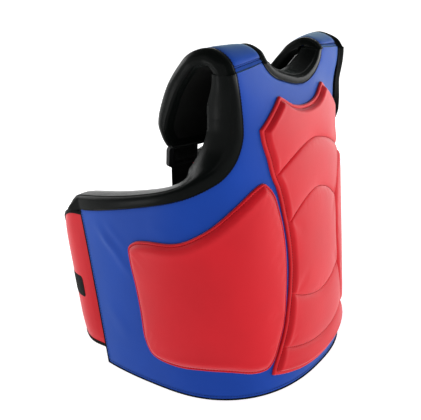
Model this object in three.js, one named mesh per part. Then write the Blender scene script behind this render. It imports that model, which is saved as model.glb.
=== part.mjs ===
import * as THREE from 'three';
import { mergeVertices } from 'three/addons/utils/BufferGeometryUtils.js';

// Padded sports body protector standing on its hem.
// Millimetres. The wearer faces -Y, the wearer's right is -X, +Z is up.
// Most pieces are laid out on the body's outer face by girth (mm along the hem line from the
// front centre, positive to the wearer's left), height, and depth into the wall.

const FIT = 0.4;

// Body shell
const SECTIONS = [
  // height, halfWidth, frontDepth, backDepth, squareness, setBack
  [0, 197, 166, 290, 2.4, 0],
  [130, 197, 165, 290, 2.4, 11.7],
  [256, 198, 164, 290, 2.45, 23],
  [340, 200, 163, 290, 2.65, 30.6],
  [400, 205, 158, 290, 3, 36],
  [440, 210, 150, 290, 4, 39.6],
  [490, 214, 142, 290, 7.5, 44],
];
const WALL = 40;
const CHEST_WALL = 46;
const WALL_AT_SEAM = 29;
const WALL_TAPER_FROM = 425;
const SEAM_HEIGHT = 485;
const LINING = 2.4;
const LINING_GAP = 0.8;
const CHEST_SQUARE_WALL = 0.1;
const CHEST_GIRTH = 150;
const FLANK_GIRTH = 310;

// Outline of the blue cover, right half
const BACK_EDGE_AT_HEM = 413;
const BACK_EDGE_SLANT = 0.07;
const BINDING = 3;
const BINDING_PROUD = 0.6;
const ARMHOLE = [
  // girth, height
  [146, 419], [147, 392], [154, 365], [164, 345], [178, 329], [195, 318],
  [223, 304], [253, 293], [305, 279], [365, 265], [399, 258], [430, 251],
];
const ARMHOLE_FRONT = [
  // height, girth
  [419, 146], [446, 148], [481, 152],
];
const NECKLINE = [
  // share of the chest width, height
  [0, 447], [0.15, 450], [0.31, 456], [0.46, 463], [0.555, 471], [0.615, 480],
  [0.655, 487], [0.85, 484], [1, 481],
];
const SEAM_FROM = 0.655;
const CHEST_COLUMNS = [0, 0.14, 0.28, 0.42, 0.54, 0.61, SEAM_FROM, 0.83, 1];
const FLANK_COLUMNS = 15;
const FLANK_FAN = 0.25;
const LOW_ROWS = 5;
const TOP_ROWS = 3;

// Edging of armholes, neck and straps
const EDGING = 16;
const ARMHOLE_EDGING = [
  // height of the armhole's edge, share of the edging width
  [249, 0.5], [251, 1.1], [262, 1.3], [300, 1.4], [325, 1.7], [350, 1.5], [400, 1.1],
  [450, 1], [490, 1],
];
const BACK_OVERHANG = 12;
const EDGING_PROFILE = [
  // share of the edging width, inset from both faces
  [0, 0], [0.5, 0], [0.84, 3], [1, 9],
];

// Pads
const PAD_GAP = 1.1;
const FLANGE = 3.5;
const SIDE_RISE = 7;
const SIDE_DOME = 3.5;
const CENTRE_RISE = 7;
const GROOVE_SHARE = 0.15;
const SIDE_BACK = [[312, 56], [321, 78], [324, 124], [328, 163], [333, 193], [335, 221]];
const SIDE_FRONT = [[128, 42], [116, 55], [106, 77], [93, 113], [86, 159], [83, 205], [85, 244],
  [93, 283], [102, 310], [118, 329]];
const SIDE_FOOT = [[312, 56], [299, 50], [261, 47], [230, 49], [187, 48], [150, 41], [128, 42]];
const SIDE_HEAD = [[335, 221], [320, 232], [290, 238], [265, 240], [242, 245], [220, 256],
  [199, 269], [157, 303], [134, 321], [118, 329]];
const SIDE_ACROSS = [0, 0.035, 0.08, 0.16, 0.25, 0.34, 0.43, 0.52, 0.61, 0.7, 0.79, 0.86, 0.92,
  0.965, 1];
const SIDE_UP = [0, 0.035, 0.08, 0.28, 0.5, 0.72, 0.92, 0.965, 1];
const CENTRE_HALF = [
  // height, half width
  [17, 123], [31, 121], [44, 117], [69, 106], [97, 94], [127, 86], [165, 79], [203, 76],
  [242, 79], [282, 87], [313, 95], [334, 104], [359, 111], [382, 119], [402, 123],
];
const CENTRE_LINES = [
  // height at the centre, height at the sides, curve power
  [17, 31, 2], [54, 73, 1.8], [129, 152, 1.7], [294, 255, 1.7], [368, 331, 1.7],
];
const CENTRE_TOP = [
  // share of the half width, height
  [0, 417], [0.2, 419], [0.36, 424], [0.51, 433], [0.615, 439], [0.8, 421], [1, 401],
];
const CENTRE_COLUMNS = [0, 0.2, 0.42, 0.615, 0.76, 0.9, 0.95, 1];
const CENTRE_STEPS = [0, 0.12, 0.5, 0.88];

// Shoulder straps, right one
const STRAP = [
  // armX, armY, armZ, neckX, neckY, neckZ, thickness
  [-173, -95, 480.6, -76, -99.5, 489.6, 29],
  [-174, -85, 498.5, -76, -90, 502, 26],
  [-174, -60, 511, -76, -69, 509, 23],
  [-173, -30, 504, -76, -46, 499, 21],
  [-169, -10, 486, -75, -33, 483, 21],
  [-164, 11, 460, -71, -21, 463, 22],
  [-157, 28, 431, -62, -8, 435, 23],
  [-152, 38, 407, -55, 2, 409, 22],
  [-148, 42, 384, -51, 9, 384, 20],
  [-144, 44, 347, -51, 15, 347, 17],
];
const STRAP_ROWS = 12;
const STRAP_COLUMNS = 3;
const STRAP_FIT = 1;
const BEND_AXIS = { y: -60, z: 489 };
const BEND_ENDS = [0.15, 0.36];
const STRAP_LINING = 2;
const TONGUE_FROM = 0.84;
const TONGUE_END = 0.945;
const TONGUE_BLUNT = 1;

// Webbing and sliders, right one
const WEB_WIDTH = 38;
const WEB_THICK = 2;
const WEB_SEWN = [0.8, 0.93];
const WEB_PATH = [
  // x, y, z, then direction across the webbing
  [-97, 32.4, 345, 0.955, -0.295, 0],
  [-96.5, 35.2, 318, 0.955, -0.295, 0],
  [-90, 42, 292, 0.9, -0.2, 0.3],
  [-58, 66, 262, 0.62, 0, 0.78],
  [-24, 90, 243, 0.48, 0, 0.87],
  [0, 94, 230, 0.46, 0, 0.88],
  [24, 98, 216, 0.44, 0, 0.89],
  [54, 134, 194, 0.35, 0, 0.93],
  [88, 199.3, 164, 0.3, 0.157, 0.95],
  [122, 197.4, 153, 0.3, 0.157, 0.95],
];
const CROSSING_LIFT = 9;
const CROSSING_HALF = 44;
const CROSSING_EASE = 30;
const SLIDER_WIDTH = 56;
const SLIDER_HEIGHT = 32;
const SLIDER_THICK = 3;
const SLIDER_CORNER = 4;
const SLOT_WIDTH = 42;
const SLOT_HEIGHT = 9;
const SLIDER_BAR = 6;
const WEAVE = 3.3;
const SLIDER_BELOW_TONGUE = 11;

// Back wings, right one
const WING_THICK = 10;
const WING_RECESS = 1.5;
const WING_STRAIGHT = 18;
const WING_CORNER = 50;
const WING_GAP = 30;
const WING_BINDING = 7;
const WING_TOP = [
  // distance, height
  [0, 247], [25, 240], [60, 210], [110, 170], [200, 152],
];
const WING_FOOT = [
  // distance, height
  [0, 24], [40, 27], [110, 42], [200, 58],
];
const WING_ROWS = 4;
const WING_COLUMNS = 13;

// Closure strap
const CLOSURE_Z = 116;
const CLOSURE_HALF = 16;
const CLOSURE_THICK = 2.4;
const CLOSURE_FROM = 17;

// Colours
const BLUE = { color: 0x2440b0, roughness: 0.5, metalness: 0 };
const RED = { color: 0xd0202c, roughness: 0.5, metalness: 0 };
const BLACK = { color: 0x141414, roughness: 0.6, metalness: 0 };
const WEBBING = { color: 0x0e0e0e, roughness: 0.85, metalness: 0 };
const PLASTIC = { color: 0x111111, roughness: 0.4, metalness: 0 };

const clamp01 = (v) => Math.min(1, Math.max(0, v));

function smooth(v) {
  const t = clamp01(v);
  return t * t * (3 - 2 * t);
}

// Value of one column of a table at a key in its first column, along a smooth curve
function tableAt(rows, key, column = 1) {
  const last = rows.length - 1;
  const k = Math.min(rows[last][0], Math.max(rows[0][0], key));
  let i = 0;
  while (i < last - 1 && k > rows[i + 1][0]) i += 1;
  const slope = (j) => {
    const a = rows[Math.max(0, j - 1)];
    const b = rows[Math.min(last, j + 1)];
    return (b[column] - a[column]) / (b[0] - a[0]);
  };
  const width = rows[i + 1][0] - rows[i][0];
  const t = (k - rows[i][0]) / width;
  const t2 = t * t;
  const t3 = t2 * t;
  return (2 * t3 - 3 * t2 + 1) * rows[i][column]
    + (t3 - 2 * t2 + t) * width * slope(i)
    + (3 * t2 - 2 * t3) * rows[i + 1][column]
    + (t3 - t2) * width * slope(i + 1);
}

// Straight-line value of a two-column table
function lineAt(rows, key) {
  const last = rows.length - 1;
  const k = Math.min(rows[last][0], Math.max(rows[0][0], key));
  let i = 0;
  while (i < last - 1 && k > rows[i + 1][0]) i += 1;
  const t = (k - rows[i][0]) / (rows[i + 1][0] - rows[i][0]);
  return rows[i][1] + t * (rows[i + 1][1] - rows[i][1]);
}

// Smooth curve through rows of two or three values
function curveOf(rows) {
  const points = rows.map(([x, y, z = 0]) => new THREE.Vector3(x, y, z));
  return new THREE.CatmullRomCurve3(points, false, 'centripetal');
}

// Point on the body's outer face by polar angle and height
function shell(angle, z) {
  const [half, front, back, square, setBack] = [1, 2, 3, 4, 5].map((c) => tableAt(SECTIONS, z, c));
  const depth = Math.cos(angle) > 0 ? front : back;
  const side = (Math.abs(Math.sin(angle)) / half) ** square;
  const fore = (Math.abs(Math.cos(angle)) / depth) ** square;
  const r = (side + fore) ** (-1 / square);
  return new THREE.Vector3(r * Math.sin(angle), setBack - r * Math.cos(angle), z);
}

// Girth along the hem line against polar angle
const GIRTH_STEPS = 900;
const GIRTH_TABLE = [[0, 0]];
for (let i = 1; i <= GIRTH_STEPS; i += 1) {
  const a = (i / GIRTH_STEPS) * THREE.MathUtils.degToRad(150);
  const step = shell(a, 0).distanceTo(shell(GIRTH_TABLE[i - 1][1], 0));
  GIRTH_TABLE.push([GIRTH_TABLE[i - 1][0] + step, a]);
}

function outer(girth, z) {
  const angle = lineAt(GIRTH_TABLE, Math.abs(girth));
  return shell(Math.sign(girth) * angle, z);
}

// Level direction from the outer face into the wall
function inward(girth, z) {
  const along = outer(girth + 1, z).sub(outer(girth - 1, z));
  const blend = smooth((Math.abs(girth) - CHEST_GIRTH) / (FLANK_GIRTH - CHEST_GIRTH));
  const sideways = CHEST_SQUARE_WALL + (1 - CHEST_SQUARE_WALL) * blend;
  return new THREE.Vector3(-along.y * sideways, along.x, 0).normalize();
}

function outwardNormal(girth, z) {
  const along = outer(girth + 1, z).sub(outer(girth - 1, z));
  const up = outer(girth, z + 1).sub(outer(girth, z - 1));
  return along.cross(up).normalize();
}

function wallAt(girth, z) {
  const side = smooth((Math.abs(girth) - CHEST_GIRTH) / (FLANK_GIRTH - CHEST_GIRTH));
  const low = CHEST_WALL + (WALL - CHEST_WALL) * side;
  const t = smooth((z - WALL_TAPER_FROM) / (SEAM_HEIGHT - WALL_TAPER_FROM));
  return low + (WALL_AT_SEAM - low) * t;
}

function inWall(girth, z, depth) {
  return outer(girth, z).addScaledVector(inward(girth, z), depth);
}

// Closed solid between two faces over cells of a grid; place gives both face points of a node
function slab(cells, place) {
  const index = new Map();
  const faces = [];
  const points = [];
  const node = (i, j) => {
    const key = `${i},${j}`;
    if (!index.has(key)) {
      const [top, bottom] = place(i, j);
      index.set(key, points.length);
      points.push(top, bottom);
    }
    return index.get(key);
  };
  const edges = new Map();
  for (const [i, j] of cells) {
    const ring = [node(i, j), node(i + 1, j), node(i + 1, j + 1), node(i, j + 1)];
    const [a, b, c, d] = ring;
    faces.push([a, b, c], [a, c, d]);
    faces.push([c + 1, b + 1, a + 1], [d + 1, c + 1, a + 1]);
    ring.forEach((v, k) => edges.set(`${v},${ring[(k + 1) % 4]}`, [v, ring[(k + 1) % 4]]));
  }
  for (const [a, b] of edges.values()) {
    if (!edges.has(`${b},${a}`)) faces.push([a, a + 1, b + 1], [a, b + 1, b]);
  }
  const geometry = new THREE.BufferGeometry();
  const flat = points.flatMap((p) => p.toArray());
  geometry.setAttribute('position', new THREE.Float32BufferAttribute(flat, 3));
  geometry.setIndex(faces.flat());
  return geometry;
}

function gridCells(iFrom, iTo, jFrom, jTo) {
  const cells = [];
  for (let i = iFrom; i < iTo; i += 1) {
    for (let j = jFrom; j < jTo; j += 1) cells.push([i, j]);
  }
  return cells;
}

function mirrored(geometry) {
  const copy = geometry.clone();
  copy.scale(-1, 1, 1);
  const index = copy.getIndex().array;
  for (let k = 0; k < index.length; k += 3) {
    const hold = index[k + 1];
    index[k + 1] = index[k + 2];
    index[k + 2] = hold;
  }
  return copy;
}

const group = new THREE.Group();

function addPiece(name, geometry, look) {
  const mesh = new THREE.Mesh(geometry, new THREE.MeshStandardMaterial(look));
  mesh.name = name;
  group.add(mesh);
}

function addPair(name, geometry, look) {
  addPiece(`${name}_right`, geometry, look);
  addPiece(`${name}_left`, mirrored(geometry), look);
}

// Body panel: columns run up from the hem, fanning out under the armhole
const CHEST_LAST = CHEST_COLUMNS.length - 1;
const SIDE_LAST = CHEST_LAST + FLANK_COLUMNS;
const HEM = BINDING + FIT;
const armholeCurve = curveOf(ARMHOLE);

function panelNode(i, j) {
  const side = Math.sign(i);
  const column = Math.abs(i);
  const low = clamp01(j / LOW_ROWS);
  if (column <= CHEST_LAST) {
    const share = CHEST_COLUMNS[column];
    const base = ARMHOLE[0][1];
    if (j <= LOW_ROWS) return [side * share * ARMHOLE[0][0], HEM + low * (base - HEM)];
    const z = base + ((j - LOW_ROWS) / TOP_ROWS) * (lineAt(NECKLINE, share) - base);
    return [side * share * tableAt(ARMHOLE_FRONT, z), z];
  }
  const top = armholeCurve.getPointAt((column - CHEST_LAST) / FLANK_COLUMNS);
  const [inner, outermost] = [ARMHOLE[0][0], ARMHOLE[ARMHOLE.length - 1][0]];
  const share = (top.x - inner) / (outermost - inner);
  const fan = FLANK_FAN * (ARMHOLE[0][1] - top.y) * (1 - share);
  const foot = inner + (BACK_EDGE_AT_HEM - inner) * share + fan * (1 - share);
  return [side * (foot + low * (top.x - foot)), HEM + low * (top.y - HEM)];
}

const panelCells = [
  ...gridCells(-SIDE_LAST, SIDE_LAST, 0, LOW_ROWS),
  ...gridCells(-CHEST_LAST, CHEST_LAST, LOW_ROWS, LOW_ROWS + TOP_ROWS),
];

addPiece('body_panel', slab(panelCells, (i, j) => {
  const [g, z] = panelNode(i, j);
  return [outer(g, z), inWall(g, z, wallAt(g, z) - LINING - LINING_GAP)];
}), BLUE);

addPiece('body_lining', slab(panelCells, (i, j) => {
  const [g, z] = panelNode(i, j);
  return [inWall(g, z, wallAt(g, z) - LINING), inWall(g, z, wallAt(g, z))];
}), BLACK);

// Hem and back-edge binding: from the right flank's top, along the hem, to the left flank's top
const backTop = ARMHOLE[ARMHOLE.length - 1];
const bindingPath = [];
for (let j = LOW_ROWS; j > 0; j -= 1) bindingPath.push([...panelNode(SIDE_LAST, j), 1, 0]);
bindingPath[0][1] -= 2 * FIT;
bindingPath.push([...panelNode(SIDE_LAST, 0), 1, -1]);
for (let i = SIDE_LAST - 1; i >= 0; i -= 1) bindingPath.push([...panelNode(i, 0), 0, -1]);
const hemPath = [
  ...bindingPath.map(([g, z, og, oz]) => [-g, z, -og, oz]),
  ...bindingPath.slice(0, -1).reverse(),
];
addPiece('hem_binding', slab(gridCells(0, 1, 0, hemPath.length - 1), (i, j) => {
  const [g, z, og, oz] = hemPath[j];
  const reach = i === 0 ? FIT : BINDING + FIT;
  const down = oz < 0 ? z - (i === 0 ? FIT : HEM) : z;
  const at = [g + og * reach, down];
  return [inWall(...at, -BINDING_PROUD), inWall(...at, wallAt(g, z) + BINDING_PROUD)];
}), BLACK);

// Edging: a strip beyond a line on the panel, over the whole wall, rounded at its free edge
function edging(line, ends, share = () => 1) {
  const frame = line.map(([g, z], k) => {
    const before = line[Math.max(0, k - 1)];
    const after = line[Math.min(line.length - 1, k + 1)];
    const perGirth = outer(g + 1, z).distanceTo(outer(g - 1, z)) / 2;
    const perHeight = outer(g, z + 1).distanceTo(outer(g, z - 1)) / 2;
    const run = [(after[0] - before[0]) * perGirth, (after[1] - before[1]) * perHeight];
    let out = [-run[1], run[0]];
    if (k === 0) out = [ends[0][0] * perGirth, ends[0][1] * perHeight];
    if (k === line.length - 1) out = [ends[1][0] * perGirth, ends[1][1] * perHeight];
    const length = Math.hypot(...out);
    return [out[0] / length / perGirth, out[1] / length / perHeight];
  });
  const rows = EDGING_PROFILE.length - 1;
  return slab(gridCells(0, line.length - 1, 0, rows), (i, j) => {
    const [g, z] = line[i];
    const [part, inset] = EDGING_PROFILE[j];
    const reach = FIT + part * (EDGING * share(z) - FIT);
    const at = [g + frame[i][0] * reach, z + frame[i][1] * reach];
    const wall = wallAt(g, z);
    return [inWall(...at, inset), inWall(...at, wall - inset)];
  });
}

const TOP_ROW = LOW_ROWS + TOP_ROWS;
const seamArm = panelNode(-CHEST_LAST, TOP_ROW);
const seamNext = panelNode(1 - CHEST_LAST, TOP_ROW);
const SEAM_RUN = [seamArm[0] - seamNext[0], seamArm[1] - seamNext[1]];
const armholeLine = [];
for (let i = SIDE_LAST; i > CHEST_LAST; i -= 1) armholeLine.push(panelNode(-i, LOW_ROWS));
for (let j = LOW_ROWS; j <= TOP_ROW; j += 1) armholeLine.push(panelNode(-CHEST_LAST, j));
armholeLine.unshift([-(backTop[0] + BACK_OVERHANG), backTop[1] - BACK_OVERHANG * 0.16]);
const armholeEnds = [[-BACK_EDGE_SLANT, 1], SEAM_RUN];
const armholeShare = (z) => tableAt(ARMHOLE_EDGING, z);
addPair('armhole_edging', edging(armholeLine, armholeEnds, armholeShare), BLACK);

const SEAM_COLUMN = CHEST_COLUMNS.indexOf(SEAM_FROM);
const neckLine = [];
for (let i = -SEAM_COLUMN; i <= SEAM_COLUMN; i += 1) neckLine.push(panelNode(i, TOP_ROW));
const neckEnds = [[-SEAM_RUN[0], -SEAM_RUN[1]], [SEAM_RUN[0], -SEAM_RUN[1]]];
addPiece('neck_edging', edging(neckLine, neckEnds), BLACK);

// Pads lie on the panel's outer face
function onFace(girth, z, height) {
  return outer(girth, z).addScaledVector(outwardNormal(girth, z), height);
}

const sideBack = curveOf(SIDE_BACK);
const sideFront = curveOf(SIDE_FRONT);
const sideFoot = curveOf(SIDE_FOOT);
const sideHead = curveOf(SIDE_HEAD);

// Point of the side pad: across from the back edge to the front edge, up from foot to head
function sidePoint(across, up) {
  const foot = sideFoot.getPointAt(across);
  const head = sideHead.getPointAt(across);
  const back = sideBack.getPointAt(up);
  const front = sideFront.getPointAt(up);
  const corner = (a, b) => (b ? sideHead : sideFoot).getPointAt(a);
  const mix = (key) => (1 - up) * foot[key] + up * head[key]
    + (1 - across) * back[key] + across * front[key]
    - (1 - across) * (1 - up) * corner(0, 0)[key] - across * (1 - up) * corner(1, 0)[key]
    - (1 - across) * up * corner(0, 1)[key] - across * up * corner(1, 1)[key];
  return [mix('x'), mix('y')];
}

const ACROSS_LAST = SIDE_ACROSS.length - 1;
const UP_LAST = SIDE_UP.length - 1;
addPair('side_pad', slab(gridCells(0, ACROSS_LAST, 0, UP_LAST), (i, j) => {
  const [g, z] = sidePoint(SIDE_ACROSS[i], SIDE_UP[j]);
  const rim = Math.min(i, j, ACROSS_LAST - i, UP_LAST - j);
  const dome = Math.sin(Math.PI * SIDE_ACROSS[i]) * Math.sin(Math.PI * SIDE_UP[j]);
  const rise = rim < 2 ? 0 : SIDE_RISE * (rim === 2 ? 0.9 : 1) + SIDE_DOME * dome;
  return [onFace(-g, z, PAD_GAP + FLANGE + rise), onFace(-g, z, PAD_GAP)];
}), RED);

const CENTRE_LAST = CENTRE_COLUMNS.length - 1;
const CENTRE_PER = CENTRE_STEPS.length;
const CENTRE_ROWS = CENTRE_LINES.length * CENTRE_PER;
function centreLine(k, share) {
  if (k === CENTRE_LINES.length) return lineAt(CENTRE_TOP, share);
  const [middle, ends, power] = CENTRE_LINES[k];
  return middle + (ends - middle) * share ** power;
}
addPiece('centre_pad', slab(gridCells(-CENTRE_LAST, CENTRE_LAST, 0, CENTRE_ROWS), (i, j) => {
  const share = CENTRE_COLUMNS[Math.abs(i)];
  const k = Math.min(CENTRE_LINES.length - 1, Math.floor(j / CENTRE_PER));
  const step = j === CENTRE_ROWS ? 1 : CENTRE_STEPS[j % CENTRE_PER];
  const z = centreLine(k, share) + step * (centreLine(k + 1, share) - centreLine(k, share));
  const g = Math.sign(i) * share * tableAt(CENTRE_HALF, z);
  const edge = Math.min(CENTRE_LAST - Math.abs(i), j, CENTRE_ROWS - j);
  const groove = j % CENTRE_PER === 0 ? GROOVE_SHARE : 1;
  const rise = edge < 2 ? 0 : CENTRE_RISE * groove;
  return [onFace(g, z, PAD_GAP + FLANGE + rise), onFace(g, z, PAD_GAP)];
}), RED);

// Shoulder strap on a long grid: t runs from the seam to the tongue's end, b across in mm
const armEdge = curveOf(STRAP);
const neckEdge = curveOf(STRAP.map((row) => row.slice(3)));

function strapFrame(t) {
  const arm = armEdge.getPoint(t);
  const neck = neckEdge.getPoint(t);
  const across = neck.clone().sub(arm);
  const width = across.length();
  across.normalize();
  const middle = arm.add(neck).multiplyScalar(0.5);
  const tangent = armEdge.getTangent(t).add(neckEdge.getTangent(t)).normalize();
  const under = tangent.cross(across).normalize();
  const past = smooth((t - BEND_ENDS[0]) / (BEND_ENDS[1] - BEND_ENDS[0]));
  const toAxis = new THREE.Vector3(0, BEND_AXIS.y - middle.y, BEND_AXIS.z - middle.z).normalize();
  const inside = toAxis.multiplyScalar(1 - past).addScaledVector(under, past).normalize();
  const row = t * (STRAP.length - 1);
  const k = Math.min(STRAP.length - 2, Math.floor(row));
  const thick = STRAP[k][6] + (row - k) * (STRAP[k + 1][6] - STRAP[k][6]);
  return { middle, across, width, inside, thick };
}

function inStrap(t, b, depth) {
  const f = strapFrame(t);
  return f.middle.addScaledVector(f.across, b).addScaledVector(f.inside, depth);
}

function blueHalf(t) {
  const round = clamp01((t - TONGUE_FROM) / (1 - TONGUE_FROM));
  return (strapFrame(t).width / 2 - EDGING) * Math.sqrt(1 - TONGUE_BLUNT * round * round);
}

const strapT = (j) => TONGUE_END * (j / STRAP_ROWS);
const strapB = (i, t) => (2 * (i / STRAP_COLUMNS) - 1) * blueHalf(t);
const strapCells = gridCells(0, STRAP_COLUMNS, 0, STRAP_ROWS);
addPair('strap_pad', slab(strapCells, (i, j) => {
  const t = strapT(j);
  const { thick } = strapFrame(t);
  return [inStrap(t, strapB(i, t), 0), inStrap(t, strapB(i, t), thick - STRAP_LINING - FIT)];
}), BLUE);
addPair('strap_lining', slab(strapCells, (i, j) => {
  const t = strapT(j);
  const { thick } = strapFrame(t);
  return [inStrap(t, strapB(i, t), thick - STRAP_LINING), inStrap(t, strapB(i, t), thick)];
}), BLACK);

const strapLine = [];
for (let j = 0; j <= STRAP_ROWS; j += 1) strapLine.push([strapT(j), strapB(STRAP_COLUMNS, strapT(j))]);
for (let i = STRAP_COLUMNS - 1; i >= 0; i -= 1) strapLine.push([TONGUE_END, strapB(i, TONGUE_END)]);
for (let j = STRAP_ROWS - 1; j >= 0; j -= 1) strapLine.push([strapT(j), strapB(0, strapT(j))]);
const perT = (t) => {
  const ahead = strapFrame(Math.min(1, t + 0.01)).middle;
  const behind = strapFrame(Math.max(0, t - 0.01)).middle;
  return ahead.distanceTo(behind) / 0.02;
};
const strapOut = strapLine.map(([t, b], k) => {
  const before = strapLine[Math.max(0, k - 1)];
  const after = strapLine[Math.min(strapLine.length - 1, k + 1)];
  const run = [(after[0] - before[0]) * perT(t), after[1] - before[1]];
  const length = Math.hypot(...run);
  return [-run[1] / length / perT(t), run[0] / length];
});
strapOut[0] = [0, 1];
strapOut[strapOut.length - 1] = [0, -1];
addPair('strap_edging', slab(gridCells(0, strapLine.length - 1, 0, EDGING_PROFILE.length - 1), (i, j) => {
  const [share, inset] = EDGING_PROFILE[j];
  const reach = STRAP_FIT + share * (EDGING - STRAP_FIT);
  const t = strapLine[i][0] + strapOut[i][0] * reach;
  const b = strapLine[i][1] + strapOut[i][1] * reach;
  const { thick } = strapFrame(strapLine[i][0]);
  const cut = inset * Math.min(1, thick / 30);
  return [inStrap(t, b, thick - cut), inStrap(t, b, cut)];
}), BLACK);

// Webbing from the tongue's outer face, woven through the slider, to the opposite wing
const sewn = WEB_SEWN.map((t) => [inStrap(t, 0, -WEB_THICK / 2 - 2 * FIT), strapFrame(t).across]);
const webCurve = curveOf([...sewn.map(([at]) => at.toArray()), ...WEB_PATH]);
const webTurns = WEB_PATH.map((row) => row.slice(3));
const webSide = curveOf([...sewn.map(([, across]) => across.toArray()), ...webTurns]);
const webLength = webCurve.getLength();

function webFrame(distance) {
  const u = webCurve.getUtoTmapping(clamp01(distance / webLength));
  const along = webCurve.getTangent(u);
  const side = webSide.getPoint(u);
  const across = side.addScaledVector(along, -side.dot(along)).normalize();
  return { at: webCurve.getPoint(u), along, across, face: across.clone().cross(along).normalize() };
}

const tongueTip = inStrap(1, 0, 0);
let sliderAt = 0;
for (let d = 0; d < webLength; d += 0.5) {
  if (webFrame(d).at.z > tongueTip.z - SLIDER_BELOW_TONGUE) sliderAt = d;
}
const SLIDER_WEAVE = [
  // distance from the slider's middle, lift off its mid plane
  [-45, 0], [-20, WEAVE], [-11.6, WEAVE], [-3.4, -WEAVE],
  [3.4, -WEAVE], [11.6, WEAVE], [20, WEAVE], [45, 0],
];
const webStations = [0, 10, 20];
for (const [d] of SLIDER_WEAVE.slice(1, -1)) webStations.push(sliderAt + d);
const webRest = 20;
const webFrom = webStations[webStations.length - 1];
for (let k = 1; k <= webRest; k += 1) webStations.push(webFrom + (k / webRest) * (webLength - webFrom));

function webbing(lift) {
  return slab(gridCells(0, 1, 0, webStations.length - 1), (i, j) => {
    const f = webFrame(webStations[j]);
    const crossing = smooth(1 + (CROSSING_HALF - Math.abs(f.at.x)) / CROSSING_EASE);
    const off = lineAt(SLIDER_WEAVE, webStations[j] - sliderAt) + lift * crossing;
    const mid = f.at.addScaledVector(f.across, (i - 0.5) * WEB_WIDTH).addScaledVector(f.face, off);
    const half = f.face.clone().multiplyScalar(WEB_THICK / 2);
    return [mid.clone().add(half), mid.clone().sub(half)];
  });
}
addPiece('strap_webbing_right', webbing(CROSSING_LIFT), WEBBING);
addPiece('strap_webbing_left', mirrored(webbing(-CROSSING_LIFT)), WEBBING);

function roundedRect(path, width, height, corner, cx, cy) {
  const [x0, x1, y0, y1] = [cx - width / 2, cx + width / 2, cy - height / 2, cy + height / 2];
  path.moveTo(x0 + corner, y0);
  path.lineTo(x1 - corner, y0);
  path.quadraticCurveTo(x1, y0, x1, y0 + corner);
  path.lineTo(x1, y1 - corner);
  path.quadraticCurveTo(x1, y1, x1 - corner, y1);
  path.lineTo(x0 + corner, y1);
  path.quadraticCurveTo(x0, y1, x0, y1 - corner);
  path.lineTo(x0, y0 + corner);
  path.quadraticCurveTo(x0, y0, x0 + corner, y0);
  return path;
}

const sliderShape = roundedRect(new THREE.Shape(), SLIDER_WIDTH, SLIDER_HEIGHT, SLIDER_CORNER, 0, 0);
for (const sign of [-1, 1]) {
  const middle = sign * (SLIDER_BAR + SLOT_HEIGHT) / 2;
  sliderShape.holes.push(roundedRect(new THREE.Path(), SLOT_WIDTH, SLOT_HEIGHT, 1, 0, middle));
}
const sliderDepth = { depth: SLIDER_THICK, bevelEnabled: false, curveSegments: 2 };
const sliderSolid = new THREE.ExtrudeGeometry(sliderShape, sliderDepth);
sliderSolid.translate(0, 0, -SLIDER_THICK / 2);
const sf = webFrame(sliderAt);
const sliderPose = new THREE.Matrix4().makeBasis(sf.across, sf.along, sf.face).setPosition(sf.at);
sliderSolid.applyMatrix4(sliderPose);
sliderSolid.deleteAttribute('normal');
sliderSolid.deleteAttribute('uv');
addPair('strap_slider', mergeVertices(sliderSolid), PLASTIC);

// Back wing by distance round from the flank's back edge and height
function wingPlan(distance, z) {
  const edge = outer(-(BACK_EDGE_AT_HEM + BACK_EDGE_SLANT * z + BINDING + 2 * FIT), z);
  const bend = clamp01((distance - WING_STRAIGHT) / (WING_CORNER * Math.PI / 2)) * Math.PI / 2;
  const before = Math.min(distance, WING_STRAIGHT);
  const beyond = Math.max(0, distance - WING_STRAIGHT - WING_CORNER * Math.PI / 2);
  const at = new THREE.Vector3(
    edge.x + WING_CORNER * (1 - Math.cos(bend)) + beyond,
    edge.y + before + WING_CORNER * Math.sin(bend),
    z,
  );
  const into = new THREE.Vector3(Math.cos(bend), -Math.sin(bend), 0);
  return { at, into };
}

function inWing(distance, z, depth) {
  const { at, into } = wingPlan(distance, z);
  return at.addScaledVector(into, WING_RECESS + depth);
}

const wingEnd = (z) => {
  const straight = -WING_GAP - wingPlan(WING_STRAIGHT + WING_CORNER * Math.PI / 2, z).at.x;
  return WING_STRAIGHT + WING_CORNER * Math.PI / 2 + straight;
};
const WING_LENGTH = wingEnd(CLOSURE_Z);

// Node of the wing's red face, inside its binding
function wingNode(i, j) {
  const share = i / WING_COLUMNS;
  const distance = share * (WING_LENGTH - WING_BINDING);
  const foot = tableAt(WING_FOOT, distance) + WING_BINDING;
  const top = tableAt(WING_TOP, distance) - WING_BINDING;
  return [distance, foot + (j / WING_ROWS) * (top - foot)];
}

addPair('back_wing', slab(gridCells(0, WING_COLUMNS, 0, WING_ROWS), (i, j) => {
  const [d, z] = wingNode(WING_COLUMNS - i, j);
  return [inWing(d, z, 0), inWing(d, z, WING_THICK)];
}), RED);

const wingLine = [];
for (let i = 0; i <= WING_COLUMNS; i += 1) wingLine.push([...wingNode(i, WING_ROWS), 0, 1]);
wingLine[WING_COLUMNS][2] = 1;
for (let j = WING_ROWS - 1; j >= 0; j -= 1) wingLine.push([...wingNode(WING_COLUMNS, j), 1, 0]);
wingLine[wingLine.length - 1][3] = -1;
for (let i = WING_COLUMNS - 1; i >= 0; i -= 1) wingLine.push([...wingNode(i, 0), 0, -1]);
addPair('wing_binding', slab(gridCells(0, wingLine.length - 1, 0, 1), (i, j) => {
  const [d, z, od, oz] = wingLine[i];
  const reach = j === 0 ? 2 * FIT : WING_BINDING;
  const at = [d + od * reach, z + oz * reach];
  return [inWing(...at, WING_THICK + BINDING_PROUD), inWing(...at, -BINDING_PROUD)];
}), BLACK);

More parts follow.
